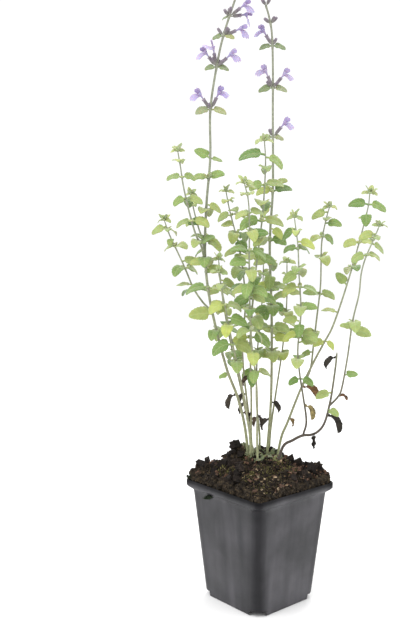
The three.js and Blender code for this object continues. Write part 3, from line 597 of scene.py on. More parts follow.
def add_turned(builder, root, direction, sides, levels, where, tone, ribs=0.0):
    """A body turned round a line; a level is distance, radius and how far its teeth reach."""
    side, other = around(direction)
    points = []
    for distance, radius, reach in levels:
        for k in range(sides):
            angle = 2 * math.pi * k / sides
            rib = k % 3 == 0
            r = radius * (1 + ribs * (1 if rib else -0.5))
            ahead = 0
            if reach:
                ahead = reach * (1 if rib else -0.35)
                r *= 1.12 if rib else 0.97
            points.append(root + direction * (distance + ahead) + side * (r * math.cos(angle))
                          + other * (r * math.sin(angle)))
    along = [(where(distance), k / sides) for distance, _, _ in levels for k in range(sides)]
    builder.add(points, loft_faces(len(levels), sides), along, tone)


def add_green(builder, root, heading, rise, levels, end):
    """A ribbed calyx or bud, end long."""
    add_turned(builder, root, direction_of(heading, rise), CALYX_SIDES, levels, lambda d: min(1, d / end),
               (fine.uniform(0, 1), 0.5), 0.05)


def add_calyx(builder, root, heading, rise):
    levels = [(0, 0.36, 0), (CALYX_START * 0.8, 0.36, 0), (CALYX_START + 0.3, 0.7, 0),
              (CALYX_START + 1.4, CALYX_GIRTH * 0.92, 0), (CALYX_START + 3, CALYX_GIRTH, 0),
              (MOUTH - 1.6, CALYX_GIRTH, 0), (MOUTH - 0.7, CALYX_RADIUS * 0.92, 0.15),
              (MOUTH, CALYX_RADIUS * 0.96, 0.8), (MOUTH - 0.15, CALYX_RADIUS - 0.24, 0.7),
              (MOUTH - 0.9, SOCKET_RADIUS, 0), (MOUTH - SOCKET_DEPTH, SOCKET_RADIUS, 0)]
    add_green(builder, root, heading, rise, levels, MOUTH)


def add_bud(builder, root, heading, rise, length):
    end = BUD_START + length
    levels = [(0, 0.34, 0), (BUD_START * 0.9, 0.34, 0), (BUD_START + length * 0.15, BUD_GIRTH * 0.7, 0),
              (BUD_START + length * 0.4, BUD_GIRTH, 0), (BUD_START + length * 0.7, BUD_GIRTH, 0),
              (end - 0.7, BUD_GIRTH * 0.8, 0.1), (end, BUD_GIRTH * 0.5, 0.5), (end - 0.3, 0.28, 0.1)]
    add_green(builder, root, heading, rise, levels, end)


def add_lip(builder, root, heading, rise, lip, shade_depth, age):
    """One lip of a corolla: a thin arched sheet whose far edge has round lobes; the depth given is how much
    painted shade darkens it.
    """
    leaf = {**lip, "heading": heading, "rise": rise + lip["lift"], "tilt": LIP_TILT}
    top = np.zeros((LIP_GRID, LIP_GRID, 3))
    bottom = np.zeros_like(top)
    where = np.zeros((LIP_GRID, LIP_GRID, 2))
    for j in range(LIP_GRID):
        v = -1 + 2 * j / (LIP_GRID - 1)
        cleft = 1 - abs(math.sin(math.pi * lip["lobes"] * (v + 1) / 2))
        reach = 1 - 0.16 * v * v - 0.2 * cleft * (1 - abs(v) * 0.3)
        for i in range(LIP_GRID):
            u = i / (LIP_GRID - 1) * reach
            centre, normal, sideways = rib_point(root, leaf, u)
            half = lip["width"] / 2 * (0.34 + 0.66 * math.sin(min(1, u / 0.72) * math.pi / 2) ** 1.3)
            lift = lip["cup"] * half * v * v + 0.22 * math.sin(6 * v + 3 * u) * u
            p = centre + sideways * (v * half) + normal * lift
            top[i, j] = p + normal * (LIP_THICKNESS / 2)
            bottom[i, j] = p - normal * (LIP_THICKNESS / 2)
            where[i, j] = (u, v * 0.5 + 0.5)
    points, faces, _ = sheet_body(top, bottom)
    builder.add(points, faces, np.vstack([where.reshape(-1, 2)] * 2), (shade_depth, age))


def add_corolla(builder, root, heading, rise, age):
    direction = direction_of(heading, rise)
    levels = [(TUBE_START, TUBE_RADIUS, 0), (TUBE_START + 1.2, TUBE_RADIUS, 0),
              (TUBE_START + SOCKET_DEPTH, TUBE_RADIUS, 0), (TUBE_START + 4.5, 0.7, 0),
              (THROAT - 2, 1.1, 0), (THROAT - 0.5, TUBE_MOUTH, 0), (THROAT, TUBE_MOUTH * 1.02, 0),
              (THROAT - 0.3, TUBE_MOUTH * 0.86, 0), (THROAT - 1.8, 1.0, 0), (THROAT - 3, 0.5, 0)]
    add_turned(builder, root, direction, COROLLA_SIDES, levels,
               lambda d: min(1, (d - TUBE_START) / TUBE_LENGTH) * 0.3, (0.35, age))
    lip_root = root + direction * (THROAT - 1.4)
    # the upper lip is painted much darker than the lower one, as painted shade
    add_lip(builder, lip_root - np.array([0, 0, 0.5]), heading, rise, LOWER_LIP, fine.uniform(0, 0.3), age)
    add_lip(builder, lip_root + np.array([0, 0, 0.4]), heading, rise, UPPER_LIP, fine.uniform(0.6, 1), age)


# ---------- materials ----------
def grey(value):
    return value, value, value


class Paint:
    """A material in the making, with short ways to add to its nodes."""

    def __init__(self, name, roughness, sheen=0.0, subsurface=0.0, specular=0.5):
        self.material = bpy.data.materials.new(name)
        self.material.use_nodes = True
        self.nodes = self.material.node_tree.nodes
        self.links = self.material.node_tree.links
        self.inputs = self.nodes["Principled BSDF"].inputs
        self.inputs["Roughness"].default_value = roughness
        self.inputs["Sheen Weight"].default_value = sheen
        self.inputs["Sheen Roughness"].default_value = 0.5
        self.inputs["Specular IOR Level"].default_value = specular
        if subsurface:
            self.inputs["Subsurface Weight"].default_value = subsurface
            self.inputs["Subsurface Scale"].default_value = 0.0012

    def feed(self, socket, value):
        if isinstance(value, bpy.types.NodeSocket):
            self.links.new(value, socket)
        elif isinstance(value, tuple):
            socket.default_value = (*value, 1)
        else:
            socket.default_value = value

    def ramp(self, source, stops):
        ramp = self.nodes.new("ShaderNodeValToRGB")
        elements = ramp.color_ramp.elements
        while len(elements) < len(stops):
            elements.new(0.5)
        for element, (place, color) in zip(elements, stops):
            element.position = place
            element.color = (*color, 1)
        self.links.new(source, ramp.inputs["Fac"])
        return ramp.outputs["Color"]

    def mix(self, factor, a, b, blend="MIX"):
        node = self.nodes.new("ShaderNodeMix")
        node.data_type = "RGBA"
        node.blend_type = blend
        for socket, value in ((0, factor), (6, a), (7, b)):
            self.feed(node.inputs[socket], value)
        return node.outputs[2]

    def times(self, a, b):
        return self.mix(1.0, a, b, "MULTIPLY")

    def calc(self, operation, a, b=0.0, clamp=False):
        node = self.nodes.new("ShaderNodeMath")
        node.operation = operation
        node.use_clamp = clamp
        self.feed(node.inputs[0], a)
        self.feed(node.inputs[1], b)
        return node.outputs[0]

    def ripple(self, source, rate):
        """The absolute value of a sine along the source."""
        return self.calc("ABSOLUTE", self.calc("SINE", self.calc("MULTIPLY", source, rate)))

    def place(self):
        """The place of a point, in metres."""
        return self.nodes.new("ShaderNodeTexCoord").outputs["Object"]

    def split(self, source):
        node = self.nodes.new("ShaderNodeSeparateXYZ")
        self.links.new(source, node.inputs["Vector"])
        return node.outputs

    def noise(self, scale, detail=4, stretch=None):
        texture = self.nodes.new("ShaderNodeTexNoise")
        texture.inputs["Scale"].default_value = scale
        texture.inputs["Detail"].default_value = detail
        source = self.place()
        if stretch:
            mapping = self.nodes.new("ShaderNodeMapping")
            mapping.inputs["Scale"].default_value = stretch
            self.links.new(source, mapping.inputs["Vector"])
            source = mapping.outputs["Vector"]
        self.links.new(source, texture.inputs["Vector"])
        return texture.outputs["Fac"]

    def layer(self, name):
        """The two numbers of a builder's layer."""
        source = self.nodes.new("ShaderNodeUVMap")
        source.uv_map = name
        parts = self.split(source.outputs["UV"])
        return parts["X"], parts["Y"]

    def done(self, color, height, distance, strength):
        """The material, with its colour and its bump set."""
        self.links.new(color, self.inputs["Base Color"])
        bump = self.nodes.new("ShaderNodeBump")
        bump.inputs["Strength"].default_value = strength
        bump.inputs["Distance"].default_value = distance
        self.links.new(height, bump.inputs["Height"])
        self.links.new(bump.outputs["Normal"], self.inputs["Normal"])
        return self.material


LEAF_SHADES = [(0, (0.36, 0.56, 0.3)), (0.3, (0.66, 0.82, 0.6)), (0.6, (1, 1.02, 0.95)),
               (0.85, (1.15, 1.12, 0.95)), (1, (1.42, 1.35, 0.75))]


def leaf_material(name, dark, light, young, vein, sheen):
    paint = Paint(name, 0.62, sheen, 0.12, 0.35)
    along, across = paint.layer("where")
    chance, youth = paint.layer("tone")
    body = paint.times(paint.mix(paint.noise(260, 5), dark, light), paint.ramp(chance, LEAF_SHADES))
    body = paint.mix(youth, body, young)
    middle = paint.calc("ABSOLUTE", paint.calc("SUBTRACT", across, 0.5))
    rib = paint.calc("SUBTRACT", 1.0, paint.calc("MULTIPLY", middle, 26), True)
    slant = paint.calc("SUBTRACT", along, paint.calc("MULTIPLY", middle, 0.62))
    side_vein = paint.calc("SUBTRACT", 1.0, paint.calc("MULTIPLY", paint.ripple(slant, 18.5), 3.2), True)
    veins = paint.calc("MAXIMUM", rib, paint.calc("MULTIPLY", side_vein, 0.7))
    color = paint.mix(paint.calc("MULTIPLY", veins, 0.45), body, vein)
    height = paint.calc("SUBTRACT", paint.calc("MULTIPLY", paint.noise(2600, 2), 0.5), veins)
    return paint.done(color, height, 0.0002, 0.7)


def fuzzy_material(name, stops, upright=False):
    """A colour that runs along the piece or up the plant, mottled by noise, with a fine nap."""
    paint = Paint(name, 0.75, 0.4, 0.0, 0.3)
    if upright:
        along = paint.calc("MULTIPLY", paint.split(paint.place())["Z"], 2.0)
    else:
        along, _ = paint.layer("where")
    mottle = paint.ramp(paint.noise(420), [(0.3, grey(0.72)), (0.7, grey(1.2))])
    color = paint.times(paint.ramp(along, stops), mottle)
    return paint.done(color, paint.noise(900, 3), 0.0002, 0.5)


def dried_material():
    """Withered leaves: the second number of the tone runs from black over brown to olive."""
    paint = Paint("dried_leaf", 0.8, 0.1, 0.0, 0.25)
    _, kind = paint.layer("tone")
    color = paint.ramp(kind, [(0, (0.022, 0.02, 0.016)), (0.35, (0.05, 0.042, 0.032)),
                              (0.6, (0.17, 0.085, 0.04)), (0.8, (0.22, 0.19, 0.08)), (1, (0.34, 0.4, 0.12))])
    mottle = paint.ramp(paint.noise(380, 5), [(0.3, grey(0.5)), (0.7, (1.5, 1.4, 1.3))])
    return paint.done(paint.times(color, mottle), paint.noise(700), 0.0004, 0.8)


def petal_material():
    paint = Paint("petal", 0.6, 0.25, 0.15, 0.3)
    along, across = paint.layer("where")
    shade_depth, age = paint.layer("tone")
    fresh = paint.ramp(along, [(0, (0.26, 0.21, 0.37)), (0.35, (0.31, 0.265, 0.5)), (1, (0.42, 0.37, 0.62))])
    faded = paint.ramp(along, [(0, (0.4, 0.35, 0.44)), (1, (0.6, 0.55, 0.68))])
    # painted shade by the tone's first number: the upper lip much darker, the tube a little darker, the lower
    # lip a little lighter
    painted_lip_shade = paint.ramp(shade_depth, [(0, (1.06, 1.06, 1.04)), (0.35, (0.92, 0.9, 0.95)), (1, (0.5, 0.43, 0.58))])
    streaks = paint.ripple(across, 30)
    shade = paint.ramp(streaks, [(0, (0.8, 0.78, 0.88)), (0.6, (1.04, 1.04, 1.02))])
    color = paint.times(paint.times(paint.mix(age, fresh, faded), painted_lip_shade), shade)
    spots = paint.ramp(paint.noise(1500, 2), [(0.62, grey(1)), (0.7, (0.62, 0.54, 0.75))])
    color = paint.mix(0.35, color, paint.times(color, spots))
    return paint.done(color, streaks, 0.00012, 0.4)


def plastic_material():
    paint = Paint("pot_plastic", 0.42)
    # the pot's own dark colour, in soft vertical streaks that are partly a painted satin sheen
    streaks_and_painted_sheen = paint.ramp(paint.noise(60, 5, (1, 1, 0.06)),
                        [(0.3, (0.01, 0.01, 0.013)), (0.7, (0.044, 0.043, 0.05))])
    dust = paint.ramp(paint.noise(30, 6), [(0.38, grey(0.6)), (0.68, (1.6, 1.56, 1.52))])
    # painted shade and light: the round corners and the top of the rim are painted darker than the faces, and
    # the pot is painted lighter towards its bottom
    place = paint.split(paint.place())
    aside = paint.calc("MINIMUM", paint.calc("ABSOLUTE", place["X"]), paint.calc("ABSOLUTE", place["Y"]))
    # painted shade: darker within about 9 mm of each round corner
    corner = paint.ramp(paint.calc("MULTIPLY", aside, 100), [(0.15, grey(0.45)), (0.95, grey(1))])
    # painted light on the lower half, lighter towards the bottom, and painted shade at the top of the rim
    rim = paint.ramp(paint.calc("MULTIPLY", place["Z"], 10),
                     [(0, grey(1.4)), (0.5, grey(1)), (0.955, grey(1)), (0.985, grey(0.35))])
    # all the painted light and shade, which also scales the specular level
    painted_light_and_shade = paint.times(corner, rim)
    paint.feed(paint.inputs["Specular IOR Level"], paint.calc("MULTIPLY", painted_light_and_shade, 0.38))
    rough = paint.nodes.new("ShaderNodeMapRange")
    rough.inputs["To Min"].default_value = 0.3
    rough.inputs["To Max"].default_value = 0.6
    paint.feed(rough.inputs["Value"], paint.noise(90, 6, (1, 1, 0.3)))
    paint.feed(paint.inputs["Roughness"], rough.outputs["Result"])
    dents = paint.calc("MULTIPLY", paint.noise(70, 3, (1, 1, 0.1)), 6)
    grain = paint.calc("ADD", paint.noise(3500, 2), dents)
    return paint.done(paint.times(paint.times(streaks_and_painted_sheen, dust), painted_light_and_shade), grain, 0.00008, 0.5)


def earth_material(name, low, middle, high, scale=350):
    paint = Paint(name, 0.92, 0.0, 0.0, 0.25)
    chance, _ = paint.layer("tone")
    color = paint.ramp(paint.noise(scale, 8), [(0.3, low), (0.52, middle), (0.72, high)])
    shift = paint.ramp(chance, [(0, (0.6, 0.6, 0.62)), (0.5, grey(1)), (1, (1.6, 1.5, 1.4))])
    return paint.done(paint.times(color, shift), paint.noise(scale * 3, 6), 0.0006, 0.9)


# ---------- pot ----------
ARC_STEPS = 16
BEYOND = 70  # past the pot's outside


def rounded_square(half, corner, z):
    ring = []
    reach = (half - corner) * math.sqrt(2)
    for k in range(4):
        turn = k * math.pi / 2
        for i in range(ARC_STEPS + 1):
            angle = turn - math.pi / 4 + i * math.pi / 2 / ARC_STEPS
            ring.append((reach * math.cos(turn) + corner * math.cos(angle),
                         reach * math.sin(turn) + corner * math.sin(angle), z))
    return ring


def block(low, high):
    mesh = bpy.data.meshes.new("cut")
    corners = [(x * MM, y * MM, z * MM) for x in (low[0], high[0]) for y in (low[1], high[1])
               for z in (low[2], high[2])]
    mesh.from_pydata(corners, [], BOX_FACES)
    return put("cut", mesh)


def cut(piece, tools):
    """Takes the tools out of the piece, and applies and removes them."""
    for tool in tools:
        modifier = piece.modifiers.new("cut", "BOOLEAN")
        modifier.operation = "DIFFERENCE"
        modifier.solver = "EXACT"
        modifier.object = tool
    graph = bpy.context.evaluated_depsgraph_get()
    shaped = bpy.data.meshes.new_from_object(piece.evaluated_get(graph))
    piece.modifiers.clear()
    old = piece.data
    piece.data = shaped
    bpy.data.meshes.remove(old)
    for tool in tools:
        bpy.data.objects.remove(tool)


def body_half(z):
    """Half the width of the pot's body at a height."""
    return BODY_BASE_HALF + (BODY_TOP_HALF - BODY_BASE_HALF) * z / UNDER_RIM


def make_pot(plastic):
    """The pot's shell, from its underside up the outside and down the inside, and its four notches."""
    band = UNDER_RIM + RIM_DRAFT
    inner = RIM_HALF - WALL
    inner_corner = BODY_CORNER - WALL
    levels = [(body_half(0) - 0.4, BODY_CORNER - 0.4, 0), (body_half(0.4), BODY_CORNER, 0.4)]
    levels += [(body_half(z), BODY_CORNER, z) for z in (4, 30, 60, UNDER_RIM - 3)]
    levels += [(body_half(UNDER_RIM) + 0.1, BODY_CORNER, UNDER_RIM - 0.3),
               (BODY_TOP_HALF + 0.7, BODY_CORNER - 0.9, UNDER_RIM + 0.5),
               (RIM_HALF - 0.7, RIM_CORNER + 0.8, band - 0.8), (RIM_HALF, RIM_CORNER, band + 0.4),
               (RIM_HALF, RIM_CORNER, POT_HEIGHT - 0.5), (RIM_HALF - 0.35, RIM_CORNER, POT_HEIGHT),
               (inner + 0.3, RIM_CORNER, POT_HEIGHT), (inner, RIM_CORNER, POT_HEIGHT - 0.4),
               (inner, RIM_CORNER, band), (BODY_TOP_HALF - WALL, inner_corner, UNDER_RIM - 0.5),
               (body_half(8) - WALL, inner_corner, 8), (body_half(8) - WALL - 0.5, inner_corner, 7)]
    builder = Builder()
    rings = np.vstack([rounded_square(*level) for level in levels])
    builder.add(rings, loft_faces(len(levels), 4 * (ARC_STEPS + 1)))
    pot = builder.build("pot_shell", [plastic])
    half = NOTCH_WIDTH / 2
    notches = [((NOTCH_REACH, -half), (BEYOND, half)), ((-BEYOND, -half), (-NOTCH_REACH, half)),
               ((-half, NOTCH_REACH), (half, BEYOND)), ((-half, -BEYOND), (half, -NOTCH_REACH))]
    cut(pot, [block((*low, -1), (*high, NOTCH_HEIGHT)) for low, high in notches])
    pot.data.polygons.foreach_set("use_smooth", [True] * len(pot.data.polygons))
    pot.data.set_sharp_from_angle(angle=math.radians(35))
    return pot


# ---------- soil ----------
SOIL_HALF = RIM_HALF - WALL - 0.3
SOIL_GRID = 150
SOIL_UNDERSIDE = 90


def fine_soil(x, y):
    """The surface that the crumbs and bits lie on."""
    place = Vector((x, y, 0))
    rough = noise.fractal(place * 0.16, 1.0, 2.0, 4) * 1.5 + noise.fractal(place * 0.55, 1.0, 2.0, 3) * 0.9
    cells = noise.voronoi(place * 0.32)[0][0]
    return soil_height(x, y) + rough + 0.9 * (0.5 - cells) - 0.3


def square_to_soil(a, b):
    """A point of the unit square, turned to the pot's diagonal square."""
    x, y = a * SOIL_HALF, b * SOIL_HALF
    turn = math.sqrt(0.5)
    return (x - y) * turn, (x + y) * turn


def make_soil(earth):
    grid = np.linspace(-1, 1, SOIL_GRID)
    points = []
    for a in grid:
        for b in grid:
            # the corners of the square are drawn in to the rounding of the pot
            out = max(0, abs(a) + abs(b) - 1.86) / 0.14
            x, y = square_to_soil(a * (1 - 0.035 * out), b * (1 - 0.035 * out))
            points.append((x, y, fine_soil(x, y)))
    top = np.array(points).reshape(SOIL_GRID, SOIL_GRID, 3)
    at_wall = np.maximum.outer(np.abs(grid), np.abs(grid)) > 0.985
    top[at_wall, 2] -= 1.6
    bottom = top.copy()
    bottom[:, :, 2] = SOIL_UNDERSIDE
    bottom[:, :, :2] *= (BODY_TOP_HALF - WALL - 0.6) / SOIL_HALF
    body, faces, _ = sheet_body(top, bottom)
    builder = Builder()
    builder.add(body, faces)
    return builder.build("soil_bed", [earth])


def inside_square(x, y, margin):
    """Whether a place is inside the pot's square and short of its round corners."""
    turn = math.sqrt(0.5)
    a, b = (x + y) * turn, (y - x) * turn
    return max(abs(a), abs(b)) < SOIL_HALF - margin and abs(a) + abs(b) < 1.88 * SOIL_HALF - margin


def scattered(count, margin, pick):
    """Places inside the pot's square, at least a margin from its wall."""
    spots = []
    while len(spots) < count:
        x, y = pick.uniform(-62, 62, 2)
        if inside_square(x, y, margin):
            spots.append((x, y))
    return spots


def add_chip(builder, x, y, z, size, pick, flat=0.35):
    """A broken bit of bark or peat: a box with its corners knocked about, lying at a slant."""
    corners = np.array([(i, j, k) for i in (-1, 1) for j in (-1, 1) for k in (-1, 1)], float)
    corners *= np.array([size, size * pick.uniform(0.35, 0.8), size * flat * pick.uniform(0.5, 1.2)]) / 2
    corners += pick.normal(0, size * 0.07, (8, 3))
    turn, tip, roll = pick.uniform(0, 6.28), pick.normal(0, 0.5), pick.normal(0, 0.5)
    for angle, (i, j) in ((roll, (1, 2)), (tip, (0, 2)), (turn, (0, 1))):
        c, s = math.cos(angle), math.sin(angle)
        a, b = corners[:, i].copy(), corners[:, j].copy()
        corners[:, i], corners[:, j] = a * c - b * s, a * s + b * c
    builder.add(corners + np.array([x, y, z]), BOX_FACES, None, (pick.uniform(0, 1), 0))


def make_bits(name, material, count, sizes, seed, margin=2.5, flat=0.35, keep=None):
    """Chips on the soil; keep gives the share that stays at a place."""
    pick = np.random.RandomState(seed)
    builder = Builder()
    for x, y in scattered(count, margin, pick):
        if keep and pick.uniform() > keep(x, y):
            continue
        size = pick.uniform(*sizes)
        add_chip(builder, x, y, fine_soil(x, y) + size * 0.1, size, pick, flat)
    return builder.build(name, [material], smooth=False)


def make_edge_crumbs(material, count, seed):
    """Crumbs on the steep side of the soil, between the pot's edge and the top."""
    pick = np.random.RandomState(seed)
    builder = Builder()
    for _ in range(count):
        along, inward = pick.uniform(-0.93, 0.93), 1 - pick.uniform(0, 0.03)
        a, b = [(inward, along), (along, inward), (-inward, along), (along, -inward)][pick.randint(4)]
        x, y = square_to_soil(a, b)
        top = fine_soil(x, y)
        z = pick.uniform(min(POT_HEIGHT, top - 1), top)
        add_chip(builder, x, y, z, pick.uniform(0.8, 2.6), pick, 0.7)
    return builder.build("edge_crumbs", [material], smooth=False)


SPIKE_RADIUS = 0.26


def make_moss(material, spots, name, seed):
    """Tufts of moss, each leaf a slim three-sided spike; a spot without a height lies on the soil."""
    pick = np.random.RandomState(seed)
    builder = Builder()
    for x, y, z, spread, count, length in spots:
        for _ in range(count):
            px, py = pick.normal(x, spread), pick.normal(y, spread)
            base = np.array([px, py, z if z is not None else fine_soil(px, py) - 0.2])
            lean = pick.normal(0, 0.55, 3)
            lean[2] = 1
            lean = lean / np.linalg.norm(lean) * length * pick.uniform(0.5, 1.3)
            side, other = around(lean / np.linalg.norm(lean))
            ring = [base + side * (SPIKE_RADIUS * math.cos(t)) + other * (SPIKE_RADIUS * math.sin(t))
                    for t in (0, 2.09, 4.19)]
            middle = [p + lean * 0.5 for p in ring]
            points = ring + middle + [base + lean]
            faces = [(2, 1, 0), (0, 1, 4, 3), (1, 2, 5, 4), (2, 0, 3, 5), (3, 4, 6), (4, 5, 6), (5, 3, 6)]
            builder.add(points, faces, None, (pick.uniform(0, 1), 0))
    return builder.build(name, [material])


# ---------- stage ----------
FLOOR_REACH = 40
LIGHT_AIM = (0, 0, 0.25)
# Each lamp's name, place in metres, size and power.
LAMPS = [("key", (-0.9, -0.9, 1.5), 0.9, 16), ("fill", (1.1, -0.6, 0.9), 0.8, 4.5),
         ("back", (0.3, 1.2, 1.2), 0.8, 9)]


def make_stage():
    mesh = bpy.data.meshes.new("floor")
    far = FLOOR_REACH
    mesh.from_pydata([(-far, -far, 0), (far, -far, 0), (far, far, 0), (-far, far, 0)], [], [(0, 1, 2, 3)])
    floor = put("floor", mesh)
    floor.location.z = -0.0002
    paint = Paint("pale_floor", 0.7)
    paint.feed(paint.inputs["Base Color"], paint.ramp(paint.noise(3, 3), [(0, grey(0.93)), (1, grey(0.96))]))
    mesh.materials.append(paint.material)
    world = bpy.data.worlds.new("studio")
    bpy.context.scene.world = world
    world.use_nodes = True
    background = world.node_tree.nodes["Background"]
    background.inputs["Color"].default_value = (1, 1, 1, 1)
    background.inputs["Strength"].default_value = 1.08
    for name, at, size, power in LAMPS:
        data = bpy.data.lights.new(name, "AREA")
        data.size = size
        data.energy = power
        light = put(name, data)
        light.location = at
        aim = Vector(LIGHT_AIM) - Vector(at)
        light.rotation_euler = aim.to_track_quat("-Z", "Y").to_euler()
    bpy.context.scene.view_settings.view_transform = "Standard"


# ---------- the plant ----------
TOP_SIZE = 0.45  # size of the topmost pair, as a part of the full size
SIZE_STEP = 0.2  # what each pair further down adds to it
FLOWERING_SIZE = 0.85  # least size on a stem that flowers
TOP_AGE = 0.6  # how young the topmost pair looks, from 0 to 1
AGE_STEP = 0.22  # what each pair further down takes off it
TINY_AGE = 0.5
BASE_AGE = 0.3
BASE_WIDTH = 0.8  # of a common leaf's
SINGLE_BEND = 50
SINGLE_TILT = 50
BRACT_RISE = 8
BRACT_BEND = 50
# Balls along a flower: distance from the stem and radius.
FLOWER_BALLS = ((4, 1.2), (8, 1.5), (12, 1.5), (16.5, 4.2))
FLOWER_REACH = 20
BUD_REACH = 9
BASE_LEAVES = 9  # round the foot of each stem


class Plant:
    """The builders of the plant's pieces, filled in the order of the part's source."""

    def __init__(self):
        self.parts = {}
        self.corollas = []
        self.samples = []

    def part(self, index, kind):
        return self.parts.setdefault((STEMS[index]["name"], kind), Builder())

    def root(self, index, z):
        return point_at_height(self.samples[index], z)

    def leaf(self, index, z, age, spots=BALLS, **leaf):
        """A leaf of the common shape; its heading, rise, bend, length and tilt are given."""
        grow_blade(self.part(index, "leaves"), self.root(index, z), age, spots,
                   width=leaf["length"] * LEAF_WIDTH, fold=LEAF_FOLD, **leaf)

    def grow_stems(self):
        for stem in STEMS:
            samples = samples_of(stem)
            if "parent" in stem:
                samples[0] = self.root(stem["parent"], samples[0][2])
            self.samples.append(samples)
            for a, b in zip(samples, samples[1:]):
                for share in (0, 0.25, 0.5, 0.75):
                    taken.take(*(a + (b - a) * share), stem["radius"][0])
        for index, stem in enumerate(STEMS):
            heights = stem["pairs"] + [w["z"] for w in stem.get("whorls", [])]
            add_stem(self.part(index, "stem"), stem, self.samples[index], heights)

    def grow_whorls(self):
        for index, stem in enumerate(STEMS):
            for whorl in stem.get("whorls", []):
                self.grow_whorl(index, whorl)

    def grow_whorl(self, index, whorl):
        root = self.root(index, whorl["z"])
        for turn in (0, 180):
            grow_blade(self.part(index, "bracts"), root, 0.1, heading=whorl["bracts"] + turn, rise=BRACT_RISE,
                       bend=BRACT_BEND, length=whorl["length"], width=whorl["length"] * BRACT_WIDTH,
                       fold=LEAF_FOLD, tilt=BRACT_TILT)
        for heading, rise in whorl["open"]:
            add_calyx(self.part(index, "calyx"), root, heading, rise)
            builder = Builder()
            add_corolla(builder, root, heading, rise, fine.uniform(0, 0.6))
            self.corollas.append(builder)
            take_flower(root, heading, rise, FLOWER_REACH)
        for heading in whorl["buds"]:
            rise = draw(40, 62)
            add_bud(self.part(index, "calyx"), root, heading, rise, BUD_LENGTH * draw(0.7, 1.05))
            take_flower(root, heading, BUD_RISE, BUD_REACH)

    def grow_placed(self):
        for index, z, heading, rise, bend, length, tilt in PLACED:
            self.leaf(index, z, 0, heading=heading, rise=rise, bend=bend, length=length, tilt=tilt)

    def grow_pairs(self):
        for index, stem in enumerate(STEMS):
            flowering = "whorls" in stem
            for i, z in enumerate(stem["pairs"]):
                size = min(1, TOP_SIZE + SIZE_STEP * i)
                grown = max(size, FLOWERING_SIZE) if flowering else size
                age = 0 if flowering else max(0, TOP_AGE - AGE_STEP * i)
                pair_heading = stem["turn"] + 90 * (i % 2) + draw(-12, 12)
                for turn in (0, 180):
                    length = stem["size"] * grown * draw(0.88, 1.12)
                    self.leaf(index, z, age, heading=pair_heading + turn + draw(-8, 8),
                              rise=draw(6, 32) + 22 * (1 - size), bend=draw(62, 104), length=length,
                              tilt=LEAF_TILT + draw(-22, 18))

    def grow_singles(self):
        """Single leaves fill the room which the pairs leave."""
        for index, count, low, high in SINGLES:
            for i in range(count):
                z = low + (high - low) * (i + draw(0.2, 0.8)) / count
                self.leaf(index, z, 0, heading=180 * (i % 2) + draw(-25, 25), rise=draw(-30, 38),
                          bend=SINGLE_BEND, length=draw(13, 16.2), tilt=SINGLE_TILT)

    def grow_dried(self):
        for (index, z, heading, rise, length), kind in zip(DRIED, DRIED_KINDS):
            grow_blade(self.part(index, "dried"), self.root(index, z), kind, crumple=DRIED_CRUMPLE,
                       heading=heading, rise=rise, bend=DRIED_BEND, length=length,
                       width=length * DRIED_WIDTH, fold=DRIED_FOLD, tilt=0)

    def grow_tiny(self, small):
        """The tiny leaves of side shoots, in the axils and at the tips, finer than the solids."""
        for index, stem in enumerate(STEMS):
            for i, z in enumerate(stem["pairs"]):
                shoot_heading = stem["turn"] + 90 * ((i + 1) % 2) + small(-25, 25)
                for turn in (0, 180):
                    length = small(4, 7) * (1 if i else 0.8)
                    self.leaf(index, z, TINY_AGE, SMALL_BALLS, heading=shoot_heading + turn,
                              rise=small(30, 65), bend=small(30, 60), length=length, tilt=small(15, 45))
            if stem["pairs"]:
                for turn in (45, 135, 225, 315):
                    length = small(5, 8.5)
                    self.leaf(index, stem["pairs"][0], TINY_AGE, SMALL_BALLS,
                              heading=stem["turn"] + turn + small(-20, 20), rise=small(50, 80),
                              bend=small(10, 45), length=length, tilt=small(15, 45))

    def grow_base(self, small):
        """The youngest leaves, round the foot of the stems."""
        for index, stem in enumerate(STEMS):
            for _ in range(0 if "parent" in stem else BASE_LEAVES):
                x, y, _ = stem["route"][0]
                spot = np.array([x + small(-4, 4), y + small(-4, 4), 0])
                spot[2] = soil_height(spot[0], spot[1]) - 0.6
                length = small(4, 8.5)
                leaf = dict(heading=small(0, 360), rise=small(35, 85), bend=small(20, 60), length=length,
                            width=length * LEAF_WIDTH * BASE_WIDTH, fold=LEAF_FOLD, tilt=20)
                add_leaf(self.part(index, "base"), spot, leaf, BASE_AGE)


def take_flower(root, heading, rise, reach):
    direction = direction_of(heading, rise)
    for distance, r in FLOWER_BALLS:
        if distance < reach:
            taken.take(*(root + direction * distance), r)


def grow_plant():
    """Every stem, flower and leaf; the last two steps are finer than the solids."""
    plant = Plant()
    plant.grow_stems()
    plant.grow_whorls()
    plant.grow_placed()
    plant.grow_pairs()
    plant.grow_singles()
    plant.grow_dried()
    small = Draws(5)
    plant.grow_tiny(small)
    plant.grow_base(small)
    return plant


# ---------- all pieces ----------
def soil_piece(piece, replaces=False):
    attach(piece, "root")
    if replaces:
        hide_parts("soil")


def dress_pot():
    pot = make_pot(plastic_material())
    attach(pot, "root")
    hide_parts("pot")


